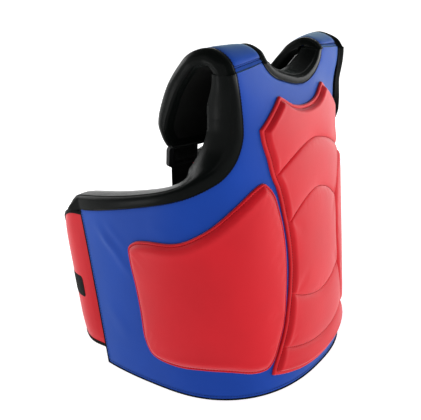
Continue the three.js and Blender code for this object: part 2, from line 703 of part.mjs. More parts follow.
// Closure strap on the wings' outer faces, its ends rounded
const closureStations = [];
const CLOSURE_STEPS = 11;
const CLOSURE_ROUND = 3;
for (let k = 0; k <= CLOSURE_ROUND; k += 1) {
  const turn = (k / CLOSURE_ROUND) * (Math.PI / 2);
  closureStations.push(CLOSURE_FROM + CLOSURE_HALF * (1 - Math.cos(turn)));
}
const closureFlat = closureStations[CLOSURE_ROUND];
for (let k = 1; k <= CLOSURE_STEPS; k += 1) {
  closureStations.push(closureFlat + (k / CLOSURE_STEPS) * (WING_LENGTH + WING_GAP - closureFlat));
}
const CLOSURE_LAST = closureStations.length - 1;
addPiece('closure_strap', slab(gridCells(0, 2 * CLOSURE_LAST, 0, 2), (i, j) => {
  const left = i < CLOSURE_LAST;
  const d = closureStations[left ? i : 2 * CLOSURE_LAST - i];
  const back = clamp01((closureFlat - d) / CLOSURE_HALF);
  const half = CLOSURE_HALF * Math.sqrt(1 - 0.8 * back * back);
  const z = CLOSURE_Z + (j - 1) * half;
  const under = -BINDING_PROUD - FIT;
  const faces = [inWing(d, z, under - CLOSURE_THICK), inWing(d, z, under)];
  if (left) faces.forEach((p) => p.setX(-p.x));
  return faces;
}), WEBBING);

// Origin below the middle of the whole object, on the plane of the hem
const bounds = new THREE.Box3().setFromObject(group);
const toMiddle = -(bounds.min.y + bounds.max.y) / 2;
for (const mesh of group.children) mesh.geometry.translate(0, toMiddle, 0);

export default group;
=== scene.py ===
import math

import bpy
import numpy as np
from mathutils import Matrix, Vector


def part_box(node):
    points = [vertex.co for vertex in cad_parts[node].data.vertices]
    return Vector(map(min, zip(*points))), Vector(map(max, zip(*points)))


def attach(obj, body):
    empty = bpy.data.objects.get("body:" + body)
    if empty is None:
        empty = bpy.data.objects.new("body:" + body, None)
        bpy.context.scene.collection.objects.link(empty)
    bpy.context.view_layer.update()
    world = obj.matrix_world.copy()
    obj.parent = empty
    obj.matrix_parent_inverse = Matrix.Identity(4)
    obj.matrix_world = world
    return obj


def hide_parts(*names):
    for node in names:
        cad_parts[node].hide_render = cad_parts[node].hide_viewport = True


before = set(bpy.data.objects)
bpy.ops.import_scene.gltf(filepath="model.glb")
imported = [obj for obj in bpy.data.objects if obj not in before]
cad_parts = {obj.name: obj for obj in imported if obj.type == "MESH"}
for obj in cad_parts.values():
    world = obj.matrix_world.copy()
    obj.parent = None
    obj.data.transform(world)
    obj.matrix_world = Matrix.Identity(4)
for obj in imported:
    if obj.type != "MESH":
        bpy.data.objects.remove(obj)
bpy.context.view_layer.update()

# Sizes are millimetres in the frame of the tables below, whose hem front lies at HEM_FRONT.
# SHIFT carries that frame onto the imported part, and piece() turns it into metres.
MM = 0.001
HEM_FRONT = -166.6
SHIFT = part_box("hem_binding")[0].y / MM - HEM_FRONT

# Camera, fitted to the photograph's 421 by 420 frame
IMAGE_WIDTH = 421
FOCAL_PIXELS = 734
SENSOR_MM = 36
VIEW_AZIMUTH = math.radians(-56.8)
VIEW_ELEVATION = math.radians(20)
VIEW_DISTANCE = 1195
CLIP_METRES = 100
VIEW_TARGET = (-20.8, 31.8, 229)

# Body wall: the outer face by girth from the front centre and height
SECTIONS = [
    # height, half width, front depth, back depth, squareness, set back
    (0, 197, 166, 290, 2.4, 0),
    (130, 197, 165, 290, 2.4, 11.7),
    (256, 198, 164, 290, 2.45, 23),
    (340, 200, 163, 290, 2.65, 30.6),
    (400, 205, 158, 290, 3, 36),
    (440, 210, 150, 290, 4, 39.6),
    (490, 214, 142, 290, 7.5, 44),
]
# The left chest is flatter than the right one, round one angle and between heights
LEFT_FLAT = 5
LEFT_FLAT_ANGLE = math.radians(36)
LEFT_FLAT_SPREAD = math.radians(12)
LEFT_FLAT_HEIGHTS = (320, 370, 435, 475)
# Wall thickness and its layers
WALL = 40
CHEST_WALL = 46
WALL_AT_SEAM = 29
WALL_TAPER_FROM = 425
SEAM_HEIGHT = 485
LINING = 2.4
CHEST_SQUARE_WALL = 0.1
CHEST_GIRTH = 150
FLANK_GIRTH = 310
BINDING = 3
BINDING_PROUD = 0.6
FIT = 0.4
HEM = BINDING + FIT
COVER_FOOT = 1.8
# Outlines of the wall on its outer face
BACK_EDGE_AT_HEM = 413
BACK_EDGE_SLANT = 0.096
ARMHOLE = [
    # girth, height
    (146, 419), (147, 394), (155, 369), (166, 352), (180, 338), (196, 328),
    (223, 314), (253, 302.5), (305, 287), (365, 271), (399, 262.5), (437.3, 254),
]
ARMHOLE_FRONT = [(419, 146), (446, 148), (481, 152)]
SEAM_FROM = 0.655
NECKLINE = [
    # share of the chest width, height
    (-0.15, 450), (0, 447), (0.15, 450), (0.31, 456), (0.46, 463), (0.555, 471), (0.615, 480),
    (SEAM_FROM, 487),
]
LEFT_NECK_DIP = 5
SEAM_INSIDE = 0.83
SEAM_LINE = [NECKLINE[-1], (1, 481)]
FLANK_FAN = 0.25
# Points along those outlines
ARMHOLE_STEPS = 160
SEAM_STEPS = 30
NECK_STEPS = 121
FLANK_STEPS = 90
CHEST_STEPS = 70
# How the cover dips at its seams and folds over the flank
COVER_SEAM_DIP = 1.5
COVER_SEAM_REACH = 3
HEM_DIP_START = 0.5
HEM_DIP_SLOPE = 1.3
FOLD_FADE = 3
FLANK_FOLDS = [
    # girth and height of both ends, half width, rise
    (-410, 248, -328, 166, 8, 1.5),
    (-396, 226, -350, 200, 5, 0.9),
    (-384, 252, -336, 212, 6, 0.9),
    (-405, 120, -350, 60, 14, 0.8),
    (-300, 262, -250, 250, 10, 0.5),
]

# Hem edge
HEM_BACK_TOP = 0.995
HEM_BACK_STEPS = 60
HEM_STITCH_INSET = 3
HEM_STITCH_LIFT = 0.1
HEM_SECTION = [
    # reach, share of the wall, further depth
    (-0.6, 0, 2.0), (1.5, 0, 1.2), (1.9, 0, -0.4), (2.8, 0, -0.5), (3.4, 0, 0.9),
    (3.4, 0.5, 0), (3.4, 1, -1.4), (2.7, 1, 0.4), (1.6, 1, 0.9), (0.4, 1, 0.7),
    (-0.6, 1, -1.0), (-0.6, 0.5, 0),
]

# Rolled edging of armholes, neck and straps
EDGING = 16
ARMHOLE_EDGING = [
    # height of the armhole's edge, share of the edging width
    (243, 1.35), (254, 1.4), (263, 1.34), (271, 1.22), (287, 1.07), (303, 1.07), (315, 1.17),
    (327, 1.27), (338, 1.31), (352, 1.31), (369, 1.28), (394, 1.16), (420, 1.06), (450, 1), (490, 1),
]
# Past the flank the armhole's rim runs on over the wing, turns with it and thins out
BACK_OVERHANG = 27
BACK_OVERHANG_DROP = 0.3
BACK_TURN = 16
BACK_THINS = 0.55
BACK_TAPER = [
    # distance from the rim's back end, share of its width
    (0, 0.3), (4, 0.45), (26, 0.98), (30, 1),
]
# How far rims swell over the cover: the right one and the neck's, and the left one, which is fuller
RIM_PROUD = 1
RIM_PROUD_HEIGHTS = (285, 340)
LEFT_RIM_SWELL = [
    # height of the armhole's edge, swell
    (285, 0), (325, 2), (350, 10), (375, 12), (400, 10), (430, 7), (490, 7),
]
LEFT_STRAP_PROUD = 6
# Rim sections on the flank and on the chest, and the heights between which one turns into the other
FLANK_RIM = [
    # share of the edging width, share of the wall, further depth
    (-0.06, 0, 1.2), (0.02, 0, -0.3), (0.3, 0, -1.0), (0.58, 0, -0.6), (0.76, 0, 0.7),
    (0.88, 0, 2.6), (0.95, 0, 5.6), (0.99, 0.25, 0), (1.01, 0.4, 0), (1.02, 0.52, 0),
    (1.01, 0.64, 0), (0.98, 0.78, 0), (0.92, 1, -5), (0.82, 1, -2), (0.6, 1, 0.2),
    (0.3, 1, 0.6), (0.02, 1, 0.3), (-0.06, 1, -1.2), (-0.06, 0.5, 0),
]
CHEST_RIM = [
    (-0.06, 0, 1.2), (0.02, 0, -0.3), (0.22, 0, -0.9), (0.42, 0, -0.6), (0.6, 0, 0.6),
    (0.75, 0.04, 1.4), (0.86, 0.14, 0), (0.94, 0.26, 0), (1.0, 0.4, 0), (1.02, 0.54, 0),
    (0.99, 0.68, 0), (0.92, 0.82, 0), (0.82, 1, -4), (0.7, 1, -1.4), (0.5, 1, 0.2),
    (0.25, 1, 0.6), (0.02, 1, 0.3), (-0.06, 1, -1.2), (-0.06, 0.5, 0),
]
RIM_ROUNDS = (285, 345)
RIM_POINTS = 44
RIM_STEP = 2.5
RIM_END_EASE = 18
RIM_SWELL_RISE = 1.8
RIM_STITCH_FROM = 3
RIM_STITCH_INSET = 1.7
RIM_STITCH_HEIGHT = -0.35

# Pads on the outer face
PAD_GAP = 0.6
FLANGE = 3.6
FLANGE_ROUND = 1.6
FLANGE_CROWN = 0.5
# Each pad: bevel and rise of its cushion, then its dome, the cap on its swelling and the share of bevel held
SIDE_FLANGE_WIDTH = 3.5
SIDE_BEVEL = 12
SIDE_RISE = 6
SIDE_DOME = 3
SIDE_SWELL = 4
SIDE_HELD = 0.5
SIDE_CORNER = 5
SIDE_GRID = (125, 117)
CENTRE_FLANGE_WIDTH = 5.5
CENTRE_BEVEL = 6
CENTRE_RISE = 5.8
CENTRE_DOME = 0.5
CENTRE_SWELL = 2.5
CENTRE_HELD = 0.6
CENTRE_COLUMNS = 76
CENTRE_ROWS = 38
# Profile of both pads from the flange up
BEVEL_POWER = 2.3
DOME_REACH = 45
STITCH_DIP = 0.6
STITCH_DIP_REACH = 1.3
PAD_LIP = 0.1
PAD_LIP_REACH = 0.45
PAD_STITCH_HEIGHT = PAD_GAP + FLANGE - STITCH_DIP + 0.25
# Edges of the side pad by girth and height
SIDE_BACK = [(312, 56), (321, 78), (324, 124), (328, 163), (333, 193), (335, 221)]
SIDE_FRONT = [
    (128, 42), (116, 55), (106, 77), (93, 113), (86, 159), (83, 205), (85, 244),
    (93, 283), (102, 310), (118, 329),
]
SIDE_FOOT = [(312, 56), (299, 50), (261, 47), (230, 49), (187, 48), (150, 41), (128, 42)]
SIDE_HEAD = [
    (335, 221), (320, 232), (290, 238), (265, 240), (242, 245), (220, 256),
    (199, 269), (157, 303), (134, 321), (118, 329),
]
CENTRE_HALF = [
    # height, half width
    (17, 123), (31, 121), (44, 117), (69, 106), (97, 94), (127, 86), (165, 79), (203, 76),
    (242, 79), (282, 87), (313, 95), (334, 104), (359, 110), (382, 117), (402, 120.5),
]
CENTRE_LINES = [
    # height at the centre, height at the sides, curve power
    (17, 31, 2), (54, 73, 1.8), (129, 152, 1.7), (294, 255, 1.7), (368, 331, 1.7),
]
CENTRE_NOTCH = [
    # share of the half width, height
    (-0.2, 419), (0, 417), (0.2, 419), (0.36, 424), (0.51, 433), (0.615, 439),
]
CENTRE_SHOULDER = [CENTRE_NOTCH[-1], (0.8, 421), (1, 401)]
# A quilting groove is a sharp dip within a soft one, as shares of the cushion's height
GROOVE_SHARP = 0.3
GROOVE_SHARP_REACH = 1.6
GROOVE_SOFT = 0.5
GROOVE_SOFT_REACH = 9
GROOVE_STEP = 0.7
GROOVE_STITCH_HEIGHT = PAD_GAP + FLANGE + CENTRE_RISE * (1 - GROOVE_SHARP - GROOVE_SOFT) + 0.2
OUTLINE_SAMPLES = 400
CENTRE_END_SAMPLES = 241
CENTRE_SIDE_SAMPLES = 300
INSET_KEPT = 0.97

# How strongly grids crowd towards their ends
GRID_ENDS = 0.6
CENTRE_COLUMN_ENDS = 0.5
CENTRE_ROW_ENDS = 0.75
CLOSURE_ENDS = 0.3

# Shoulder strap, right one; t runs 0 to 1 over these rows, from the seam to the tongue's end
STRAP = [
    # arm edge x, y, z, then neck edge x, y, z, then thickness
    (-173, -95, 480.6, -76, -99.5, 489.6, 29),
    (-174, -85, 498.5, -76, -90, 502, 26),
    (-174, -60, 511, -76, -69, 509, 23),
    (-173, -30, 504, -76, -46, 499, 21),
    (-169, -10, 486, -75, -33, 483, 21),
    (-164, 11, 460, -71, -21, 463, 22),
    (-157, 28, 431, -62, -8, 435, 23),
    (-152, 38, 407, -55, 2, 409, 22),
    (-148, 42, 384, -51, 9, 384, 20),
    (-144, 44, 347, -51, 15, 347, 17),
]
# The arch is thick towards an axis at this y and z, and the tongue square to its face
BEND_AXIS = (-60, 489)
BEND_ENDS = (0.15, 0.36)
STRAP_LINING = 2
TONGUE_FROM = 0.807
TONGUE_END = 0.912
TONGUE_TIP = 0.967
SHOULDER_SEAM = 8
SHOULDER_SEAM_DIP = 1.6
SHOULDER_SEAM_REACH = 3.5
STRAP_CROWN = 1.6
STRAP_CROWN_FROM = 3 * SHOULDER_SEAM
STRAP_LENGTH = 290
# Rim of the strap: steps, how its corners turn, and where the left one swells
STRAP_EDGE_STEPS = 150
TONGUE_STEPS = 40
STRAP_RIM_STEP = 2
STRAP_RIM_TURN = 7
STRAP_RIM_SQUARE = 4
STRAP_RIM_THICK = 30
STRAP_SWELL_ACROSS = 20
STRAP_SWELL_LENGTH = 55
# Stitch rows across the seam and along the cover's sides
SHOULDER_ROWS = [
    # distance from the strap's start, depth
    (SHOULDER_SEAM, 1), (SHOULDER_SEAM + 4.5, 0.3),
]
SHOULDER_ROW_STEPS = 60
STRAP_ROW_STEPS = 120
STRAP_ROW_END = 0.01
STRAP_ROW_INSET = 1.8
STRAP_ROW_DEPTH = 0.3
STRAP_SUNK = 4
STRAP_PUFF = [
    # t, how far the strap's lining swells inwards
    (0, 0), (0.08, 4), (0.25, 6), (0.45, 4), (0.7, 2.5), (1, 1.5),
]
# The left arch is lower, down to a t
LEFT_ARCH_DROP = 11
LEFT_ARCH_END = 0.7

# Webbing and sliders
WEB_WIDTH = 40
WEB_THICK = 2
# The webbing starts on the tongue, at two values of t, and goes on freely to the opposite wing
WEB_SEWN = (0.77, 0.9)
WEB_PATH = [
    # x, y, z, then direction across the webbing
    (-93, 31.2, 345, 0.955, -0.295, 0),
    (-92, 34, 318, 0.955, -0.295, 0),
    (-87, 41.5, 292, 0.9, -0.2, 0.3),
    (-58, 66, 262, 0.62, 0, 0.78),
    (-24, 90, 243, 0.48, 0, 0.87),
    (0, 94, 230, 0.46, 0, 0.88),
    (24, 98, 216, 0.44, 0, 0.89),
    (54, 134, 194, 0.35, 0, 0.93),
    (88, 202.6, 164, 0.3, 0.157, 0.95),
    (122, 200.4, 153, 0.3, 0.157, 0.95),
]
WEB_STEPS = 300
BOX_INSET = 5
BOX_LIFT = 0.1
BOX_STEPS = 20
BOX_ON_TONGUE = (4, 36)
BOX_ON_WING = (34, 4)
# One webbing passes over the other within these distances of the middle
CROSSING_LIFT = 9
CROSSING_HALF = 44
CROSSING_EASE = 30
# The slider lies on the webbing: its ends across, half its length along, and its two slots
SLIDER_BELOW_TONGUE = 6
SLIDER_ENDS = (-31, 22.5)
SLIDER_HALF_LENGTH = 16
SLIDER_HALF_THICK = 1.9
SLIDER_END_THICK = 2
SLIDER_END_EASE = 4
SLIDER_EDGE = 0.8
SLIDER_SEARCH_STEP = 0.5
SLIDER_CORNER = 6
SLIDER_SLOT_HALF = 18.8
SLOT_NEAR = 3.4
SLOT_FAR = 11.6
# Section of a woven strip: its edges are thinner
STRIP_COLUMNS = 13
STRIP_EDGE_THIN = 0.5
STRIP_EDGE_POWER = 8
STRIP_SHARP = 60
WEAVE = 3.3
SLIDER_WEAVE = [
    # distance from the slider's middle, lift off its mid plane
    (-45, 0), (-20, WEAVE), (-SLOT_FAR, WEAVE), (-SLOT_NEAR, -WEAVE),
    (SLOT_NEAR, -WEAVE), (SLOT_FAR, WEAVE), (20, WEAVE), (45, 0),
]

# Back wings and closure strap
WING_THICK = 10
WING_RECESS = 1.5
WING_STRAIGHT = 17
WING_CORNER = 50
WING_GAP = 30
WING_BINDING = 7
# How the wing's faces swell between its edges
WING_PUFF = 3
WING_PUFF_POWER = 6
WING_PUFF_START = 0.35
WING_PUFF_FRONT = 9
WING_PUFF_BACK = 14
WING_INNER_PUFF = 0.6
WING_GRID = (80, 60)
WING_EDGE_STEPS = 90
WING_END_STEPS = 40
WING_STITCH_REACH = 1.6
WING_STITCH_DEPTH = -0.75
WING_SECTION = [
    # reach, share of the thickness, further depth
    (-1, 0, 0.8), (0.5, 0, -0.6), (4, 0, -0.9), (6.2, 0, 0.2), (7, 0, 2.6), (7, 1, -2.6),
    (6.2, 1, -0.2), (4, 1, 0.9), (0.5, 1, 0.6), (-1, 1, -0.8), (-1, 0.5, 0),
]
# Upper and lower edge by distance from the flank and height
WING_TOP = [(0, 250), (25, 248), (50, 234), (80, 198), (120, 168), (200, 152)]
WING_FOOT = [(0, 24), (40, 27), (110, 42), (200, 58)]
# Closure strap over both wings
CLOSURE_Z = 122
CLOSURE_HALF = 17.5
CLOSURE_CORNER = 4
CLOSURE_THICK = 2.4
CLOSURE_FROM = 22
CLOSURE_UNDER = -BINDING_PROUD - FIT - 0.2
CLOSURE_INNER_THIN = 0.4
CLOSURE_STEPS = 90


# Curves and tables

TINY = 1e-9
CURVE_SAMPLES = 1500
CURVE_STEP = 1e-3
LINE_STEP = 1.5


def smooth(v):
    t = np.clip(v, 0, 1)
    return t * t * (3 - 2 * t)


def between(ends, v):
    """Smooth step from 0 at the first end to 1 at the second."""
    return smooth((v - ends[0]) / (ends[1] - ends[0]))


def table(rows, key, column=1):
    """Values of one column of a table at keys in its first column, along a smooth curve."""
    rows = np.asarray(rows, float)
    x, y = rows[:, 0], rows[:, column]
    slope = np.gradient(y, x, edge_order=1)
    slope[1:-1] = (y[2:] - y[:-2]) / (x[2:] - x[:-2])
    k = np.clip(key, x[0], x[-1])
    i = np.clip(np.searchsorted(x, k) - 1, 0, len(x) - 2)
    width = x[i + 1] - x[i]
    t = (k - x[i]) / width
    t2, t3 = t * t, t * t * t
    return ((2 * t3 - 3 * t2 + 1) * y[i] + (t3 - 2 * t2 + t) * width * slope[i]
            + (3 * t2 - 2 * t3) * y[i + 1] + (t3 - t2) * width * slope[i + 1])


def lerp(rows, key):
    rows = np.asarray(rows, float)
    return np.interp(key, rows[:, 0], rows[:, 1])


def knot(a, b):
    """Centripetal spacing of points."""
    return np.maximum(((b - a) ** 2).sum(-1, keepdims=True) ** 0.25, TINY)


def curve(points, t):
    """Points of a centripetal curve through rows, at t from 0 to 1."""
    p = np.asarray(points, float)
    p = np.vstack([2 * p[0] - p[1], p, 2 * p[-1] - p[-2]])
    spans = len(p) - 3
    x = np.clip(np.asarray(t, float), 0, 1) * spans
    i = np.minimum(x.astype(int), spans - 1)
    w = (x - i)[..., None]
    p0, p1, p2, p3 = p[i], p[i + 1], p[i + 2], p[i + 3]
    d0, d1, d2 = knot(p0, p1), knot(p1, p2), knot(p2, p3)
    t1 = ((p1 - p0) / d0 - (p2 - p0) / (d0 + d1) + (p2 - p1) / d1) * d1
    t2 = ((p2 - p1) / d1 - (p3 - p1) / (d1 + d2) + (p3 - p2) / d2) * d1
    return p1 + t1 * w + (3 * (p2 - p1) - 2 * t1 - t2) * w ** 2 + (2 * (p1 - p2) + t1 + t2) * w ** 3


def along(line):
    """Distance run along a line of points, from its start."""
    steps = np.linalg.norm(np.diff(line, axis=0), axis=1)
    return np.concatenate([[0], np.cumsum(steps)])


def even(points, share):
    """Points of a curve at shares of its length."""
    t = np.linspace(0, 1, CURVE_SAMPLES)
    run = along(curve(points, t))
    return curve(points, np.interp(share, run / run[-1], t))


def at_run(line, run, at):
    """Rows of a line at distances along it, any number of columns."""
    return np.stack([np.interp(at, run, column) for column in line.T], 1)


def respaced(line, step=LINE_STEP):
    """A line of points resampled at an even step."""
    run = along(line)
    count = max(2, int(round(run[-1] / step)) + 1)
    return at_run(line, run, np.linspace(0, run[-1], count))


def distance(points, line, chunk=3000):
    """Distance of flat points to the nearest point of a finely spaced flat line."""
    found = []
    for k in range(0, len(points), chunk):
        gap = points[k:k + chunk, None, :] - line[None, :, :]
        found.append(np.sqrt((gap ** 2).sum(-1)).min(1))
    return np.concatenate(found)


def unit(v):
    return v / np.maximum(np.linalg.norm(v, axis=-1, keepdims=True), TINY)


def clustered(count, ends):
    """Shares from 0 to 1 that lie closer together at both ends, the more so the larger ends is."""
    x = np.linspace(0, 1, count)
    return (1 - ends) * x + ends * (0.5 - 0.5 * np.cos(math.pi * x))


# The body's outer face and wall

def shell(angle, z):
    half, front, back, square, set_back = (table(SECTIONS, z, c) for c in range(1, 6))
    depth = np.where(np.cos(angle) > 0, front, back)
    side = (np.abs(np.sin(angle)) / half) ** square
    fore = (np.abs(np.cos(angle)) / depth) ** square
    r = (side + fore) ** (-1 / square)
    level = between(LEFT_FLAT_HEIGHTS[:2], z) * (1 - between(LEFT_FLAT_HEIGHTS[2:], z))
    r = r - LEFT_FLAT * level * np.exp(-((angle - LEFT_FLAT_ANGLE) / LEFT_FLAT_SPREAD) ** 2)
    return np.stack([r * np.sin(angle), set_back - r * np.cos(angle), z + 0 * angle], -1)


GIRTH_END = math.radians(150)
GIRTH_ANGLES = np.linspace(0, GIRTH_END, 900)
GIRTHS = along(shell(GIRTH_ANGLES, np.zeros(len(GIRTH_ANGLES))))


def outer(girth, z):
    girth, z = np.broadcast_arrays(np.asarray(girth, float), np.asarray(z, float))
    return shell(np.sign(girth) * np.interp(np.abs(girth), GIRTHS, GIRTH_ANGLES), z)


def flank_share(girth):
    return between((CHEST_GIRTH, FLANK_GIRTH), np.abs(girth))


def inward(girth, z):
    run = outer(girth + 1, z) - outer(girth - 1, z)
    sideways = CHEST_SQUARE_WALL + (1 - CHEST_SQUARE_WALL) * flank_share(girth)
    return unit(np.stack([-run[..., 1] * sideways, run[..., 0], 0 * run[..., 0]], -1))


def face_normal(girth, z):
    run = outer(girth + 1, z) - outer(girth - 1, z)
    rise = outer(girth, z + 1) - outer(girth, z - 1)
    return unit(np.cross(run, rise))


def wall(girth, z):
    low = CHEST_WALL + (WALL - CHEST_WALL) * flank_share(girth)
    return low + (WALL_AT_SEAM - low) * between((WALL_TAPER_FROM, SEAM_HEIGHT), z)


def in_wall(girth, z, depth):
    return outer(girth, z) + inward(girth, z) * np.asarray(depth, float)[..., None]


def on_face(girth, z, height):
    return outer(girth, z) + face_normal(girth, z) * np.asarray(height, float)[..., None]


def neck_height(share):
    return np.where(share <= SEAM_FROM, table(NECKLINE, share), lerp(SEAM_LINE, share))


def panel(u, v):
    """Girth and height on the cover. |u| runs 0 to 1 over the chest and 1 to 2 over the flank.

    v runs 0 to 1 from the hem to the armhole's foot, and over the chest 1 to 2 up to the neck.
    """
    side, across = np.sign(u), np.abs(u)
    low, high = np.clip(v, 0, 1), np.clip(v - 1, 0, 1)
    inner, base = ARMHOLE[0]
    share = np.minimum(across, 1)
    z_low = HEM + low * (base - HEM)
    dip = LEFT_NECK_DIP * np.sin(math.pi * np.clip(u / SEAM_FROM, 0, 1))
    z_high = base + high * (neck_height(share) - dip - base)
    chest_z = np.where(v <= 1, z_low, z_high)
    chest_g = share * np.where(v <= 1, inner, table(ARMHOLE_FRONT, chest_z))
    top = even(ARMHOLE, np.clip(across - 1, 0, 1))
    run = (top[..., 0] - inner) / (ARMHOLE[-1][0] - inner)
    fan = FLANK_FAN * (base - top[..., 1]) * (1 - run) ** 2
    foot = inner + (BACK_EDGE_AT_HEM - inner) * run + fan
    flank_g = foot + low * (top[..., 0] - foot)
    flank_z = HEM + low * (top[..., 1] - HEM)
    on_flank = across > 1
    girth = side * np.where(on_flank, flank_g, chest_g)
    return girth, np.where(on_flank, flank_z, chest_z)


def panel_line(u, v):
    """Girth and height along a line on the cover."""
    return np.stack(panel(*np.broadcast_arrays(np.asarray(u, float), v)), 1)


def armhole_line():
    """Right armhole's edge by girth and height, from the back to the shoulder seam."""
    flank = panel_line(-np.linspace(2, 1, ARMHOLE_STEPS), 1)
    front = panel_line(-1, np.linspace(1, 2, SEAM_STEPS))
    return np.vstack([flank, front[1:]])


def neck_line():
    return panel_line(np.linspace(-SEAM_FROM, SEAM_FROM, NECK_STEPS), 2)


def hem_line():
    flank, chest = np.linspace(1, 2, FLANK_STEPS), np.linspace(-1, 1, CHEST_STEPS)
    return panel_line(np.concatenate([-flank[::-1], chest[1:], flank[1:]]), 0)


# Meshes

def grid_cells(rows, columns):
    r, c = np.mgrid[0:rows - 1, 0:columns - 1]
    a = (r * columns + c).ravel()
    return np.stack([a, a + 1, a + columns + 1, a + columns], 1)


def solid(cells, top, bottom):
    """Points and faces of a closed solid between two faces over the same cells."""
    top, bottom = top.reshape(-1, 3), bottom.reshape(-1, 3)
    edges = cells[:, [0, 1, 1, 2, 2, 3, 3, 0]].reshape(-1, 2)
    _, inverse, counts = np.unique(np.sort(edges, 1), axis=0, return_inverse=True, return_counts=True)
    rim = edges[counts[inverse.ravel()] == 1]
    n = len(top)
    walls = np.stack([rim[:, 1], rim[:, 0], rim[:, 0] + n, rim[:, 1] + n], 1)
    faces = np.vstack([cells, cells[:, ::-1] + n, walls])
    used, faces = np.unique(faces, return_inverse=True)
    return np.vstack([top, bottom])[used], faces.reshape(-1, 4).tolist()


def sheet_solid(top, bottom):
    return solid(grid_cells(*top.shape[:2]), top, bottom)


def sweep(rings):
    """Points and faces of a closed tube through rings of points, capped at both ends."""
    stations, around = rings.shape[:2]
    s, k = np.mgrid[0:stations - 1, 0:around]
    nxt = (k + 1) % around
    quads = np.stack([s * around + k, s * around + nxt, (s + 1) * around + nxt, (s + 1) * around + k], -1)
    caps = [list(range(around))[::-1], list(range((stations - 1) * around, stations * around))]
    return rings.reshape(-1, 3), quads.reshape(-1, 4).tolist() + caps


def facing_out(points, faces):
    """The faces, turned over if they enclose a negative volume."""
    total = 0.0
    for size in {len(f) for f in faces}:
        group = np.array([f for f in faces if len(f) == size])
        for i in range(1, size - 1):
            a, b, c = (points[group[:, k]] for k in (0, i, i + 1))
            total += float((a * np.cross(b, c)).sum())
    return faces if total > 0 else [list(f)[::-1] for f in faces]


def linked(name, data):
    """A new object of the scene."""
    obj = bpy.data.objects.new(name, data)
    bpy.context.scene.collection.objects.link(obj)
    return obj


def piece(name, shape, material, slot, nodes=(), fill=None, mirror=False, uv=None, sharp=40):
    """A finished mesh object that rides on the part and stands for its solids."""
    points, faces = shape
    points = np.asarray(points, float) * ((-1, 1, 1) if mirror else (1, 1, 1))
    world = (points + (0, SHIFT, 0)) * MM
    mesh = bpy.data.meshes.new(name)
    mesh.from_pydata(world.tolist(), [], facing_out(world, faces))
    mesh.materials.append(material)
    mesh.shade_smooth()
    mesh.set_sharp_from_angle(angle=math.radians(sharp))
    if uv is not None:
        corner = np.empty(len(mesh.loops), dtype=int)
        mesh.loops.foreach_get("vertex_index", corner)
        mesh.uv_layers.new(name="cloth").data.foreach_set("uv", uv[corner].astype(np.float32).ravel())
    mesh.update()
    obj = linked(name, mesh)
    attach(obj, "root")
    if nodes:
        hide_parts(*nodes)
    return obj


def pair(name, shape, material, slot, node=None, **extra):
    """Right piece and its mirrored left one."""
    for side, mirror in (("right", False), ("left", True)):
        nodes = (f"{node}_{side}",) if node else ()
        piece(f"{name}_{side}", shape, material, slot, nodes, mirror=mirror, **extra)


# Materials

# Texture values between which colour and roughness change
TEXTURE_RANGE = (0.3, 0.7)


def new_material(name, **sockets):
    """A material, its nodes and its shader, with constants set on the shader's own sockets."""
    material = bpy.data.materials.new(name)
    material.use_nodes = True
    shader = material.node_tree.nodes["Principled BSDF"]
    for socket, value in sockets.items():
        shader.inputs[socket.replace("_", " ")].default_value = value
    return material, material.node_tree, shader


def layer(kind, scale, strength=0, depth=0, on_strip=False, **settings):
    """One texture of a surface: its bump's strength and depth in metres, and if it lies along a strip."""
    return kind, scale, strength, depth, on_strip, settings


def bumped(tree, height, strength, depth, normal):
    """The normal with one more bump on it."""
    bump = tree.nodes.new("ShaderNodeBump")
    bump.inputs["Strength"].default_value = strength
    bump.inputs["Distance"].default_value = depth
    tree.links.new(height, bump.inputs["Height"])
    if normal is not None:
        tree.links.new(normal, bump.inputs["Normal"])
    return bump.outputs["Normal"]


def surface(name, colour, spread, layers, uneven=0, **sockets):
    """Procedural material: the first layer varies the colour by spread, the last the roughness by uneven."""
    material, tree, shader = new_material(name, **sockets)
    place = tree.nodes.new("ShaderNodeTexCoord").outputs["Object"]
    strip = tree.nodes.new("ShaderNodeUVMap")
    strip.uv_map = "cloth"
    values, normal = [], None
    for kind, scale, strength, depth, on_strip, settings in layers:
        node = tree.nodes.new("ShaderNodeTex" + kind)
        node.inputs["Scale"].default_value = scale
        for key, value in settings.items():
            if key in node.inputs:
                node.inputs[key].default_value = value
            else:
                setattr(node, key, value)
        tree.links.new(strip.outputs["UV"] if on_strip else place, node.inputs["Vector"])
        values.append(node.outputs["Distance" if kind == "Voronoi" else "Fac"])
        if strength:
            normal = bumped(tree, values[-1], strength, depth, normal)
    tree.links.new(normal, shader.inputs["Normal"])
    ramp = tree.nodes.new("ShaderNodeValToRGB")
    for stop, position, share in zip(ramp.color_ramp.elements, TEXTURE_RANGE, spread):
        stop.position = position
        stop.color = (*(min(1.0, c * share) for c in colour), 1)
    tree.links.new(values[0], ramp.inputs["Fac"])
    tree.links.new(ramp.outputs["Color"], shader.inputs["Base Color"])
    if uneven:
        gloss = tree.nodes.new("ShaderNodeMapRange")
        middle = sockets["Roughness"]
        ends = (*TEXTURE_RANGE, middle - uneven, middle + uneven)
        for socket, value in zip(("From Min", "From Max", "To Min", "To Max"), ends):
            gloss.inputs[socket].default_value = value
        tree.links.new(values[-1], gloss.inputs["Value"])
        tree.links.new(gloss.outputs["Result"], shader.inputs["Roughness"])
    return material


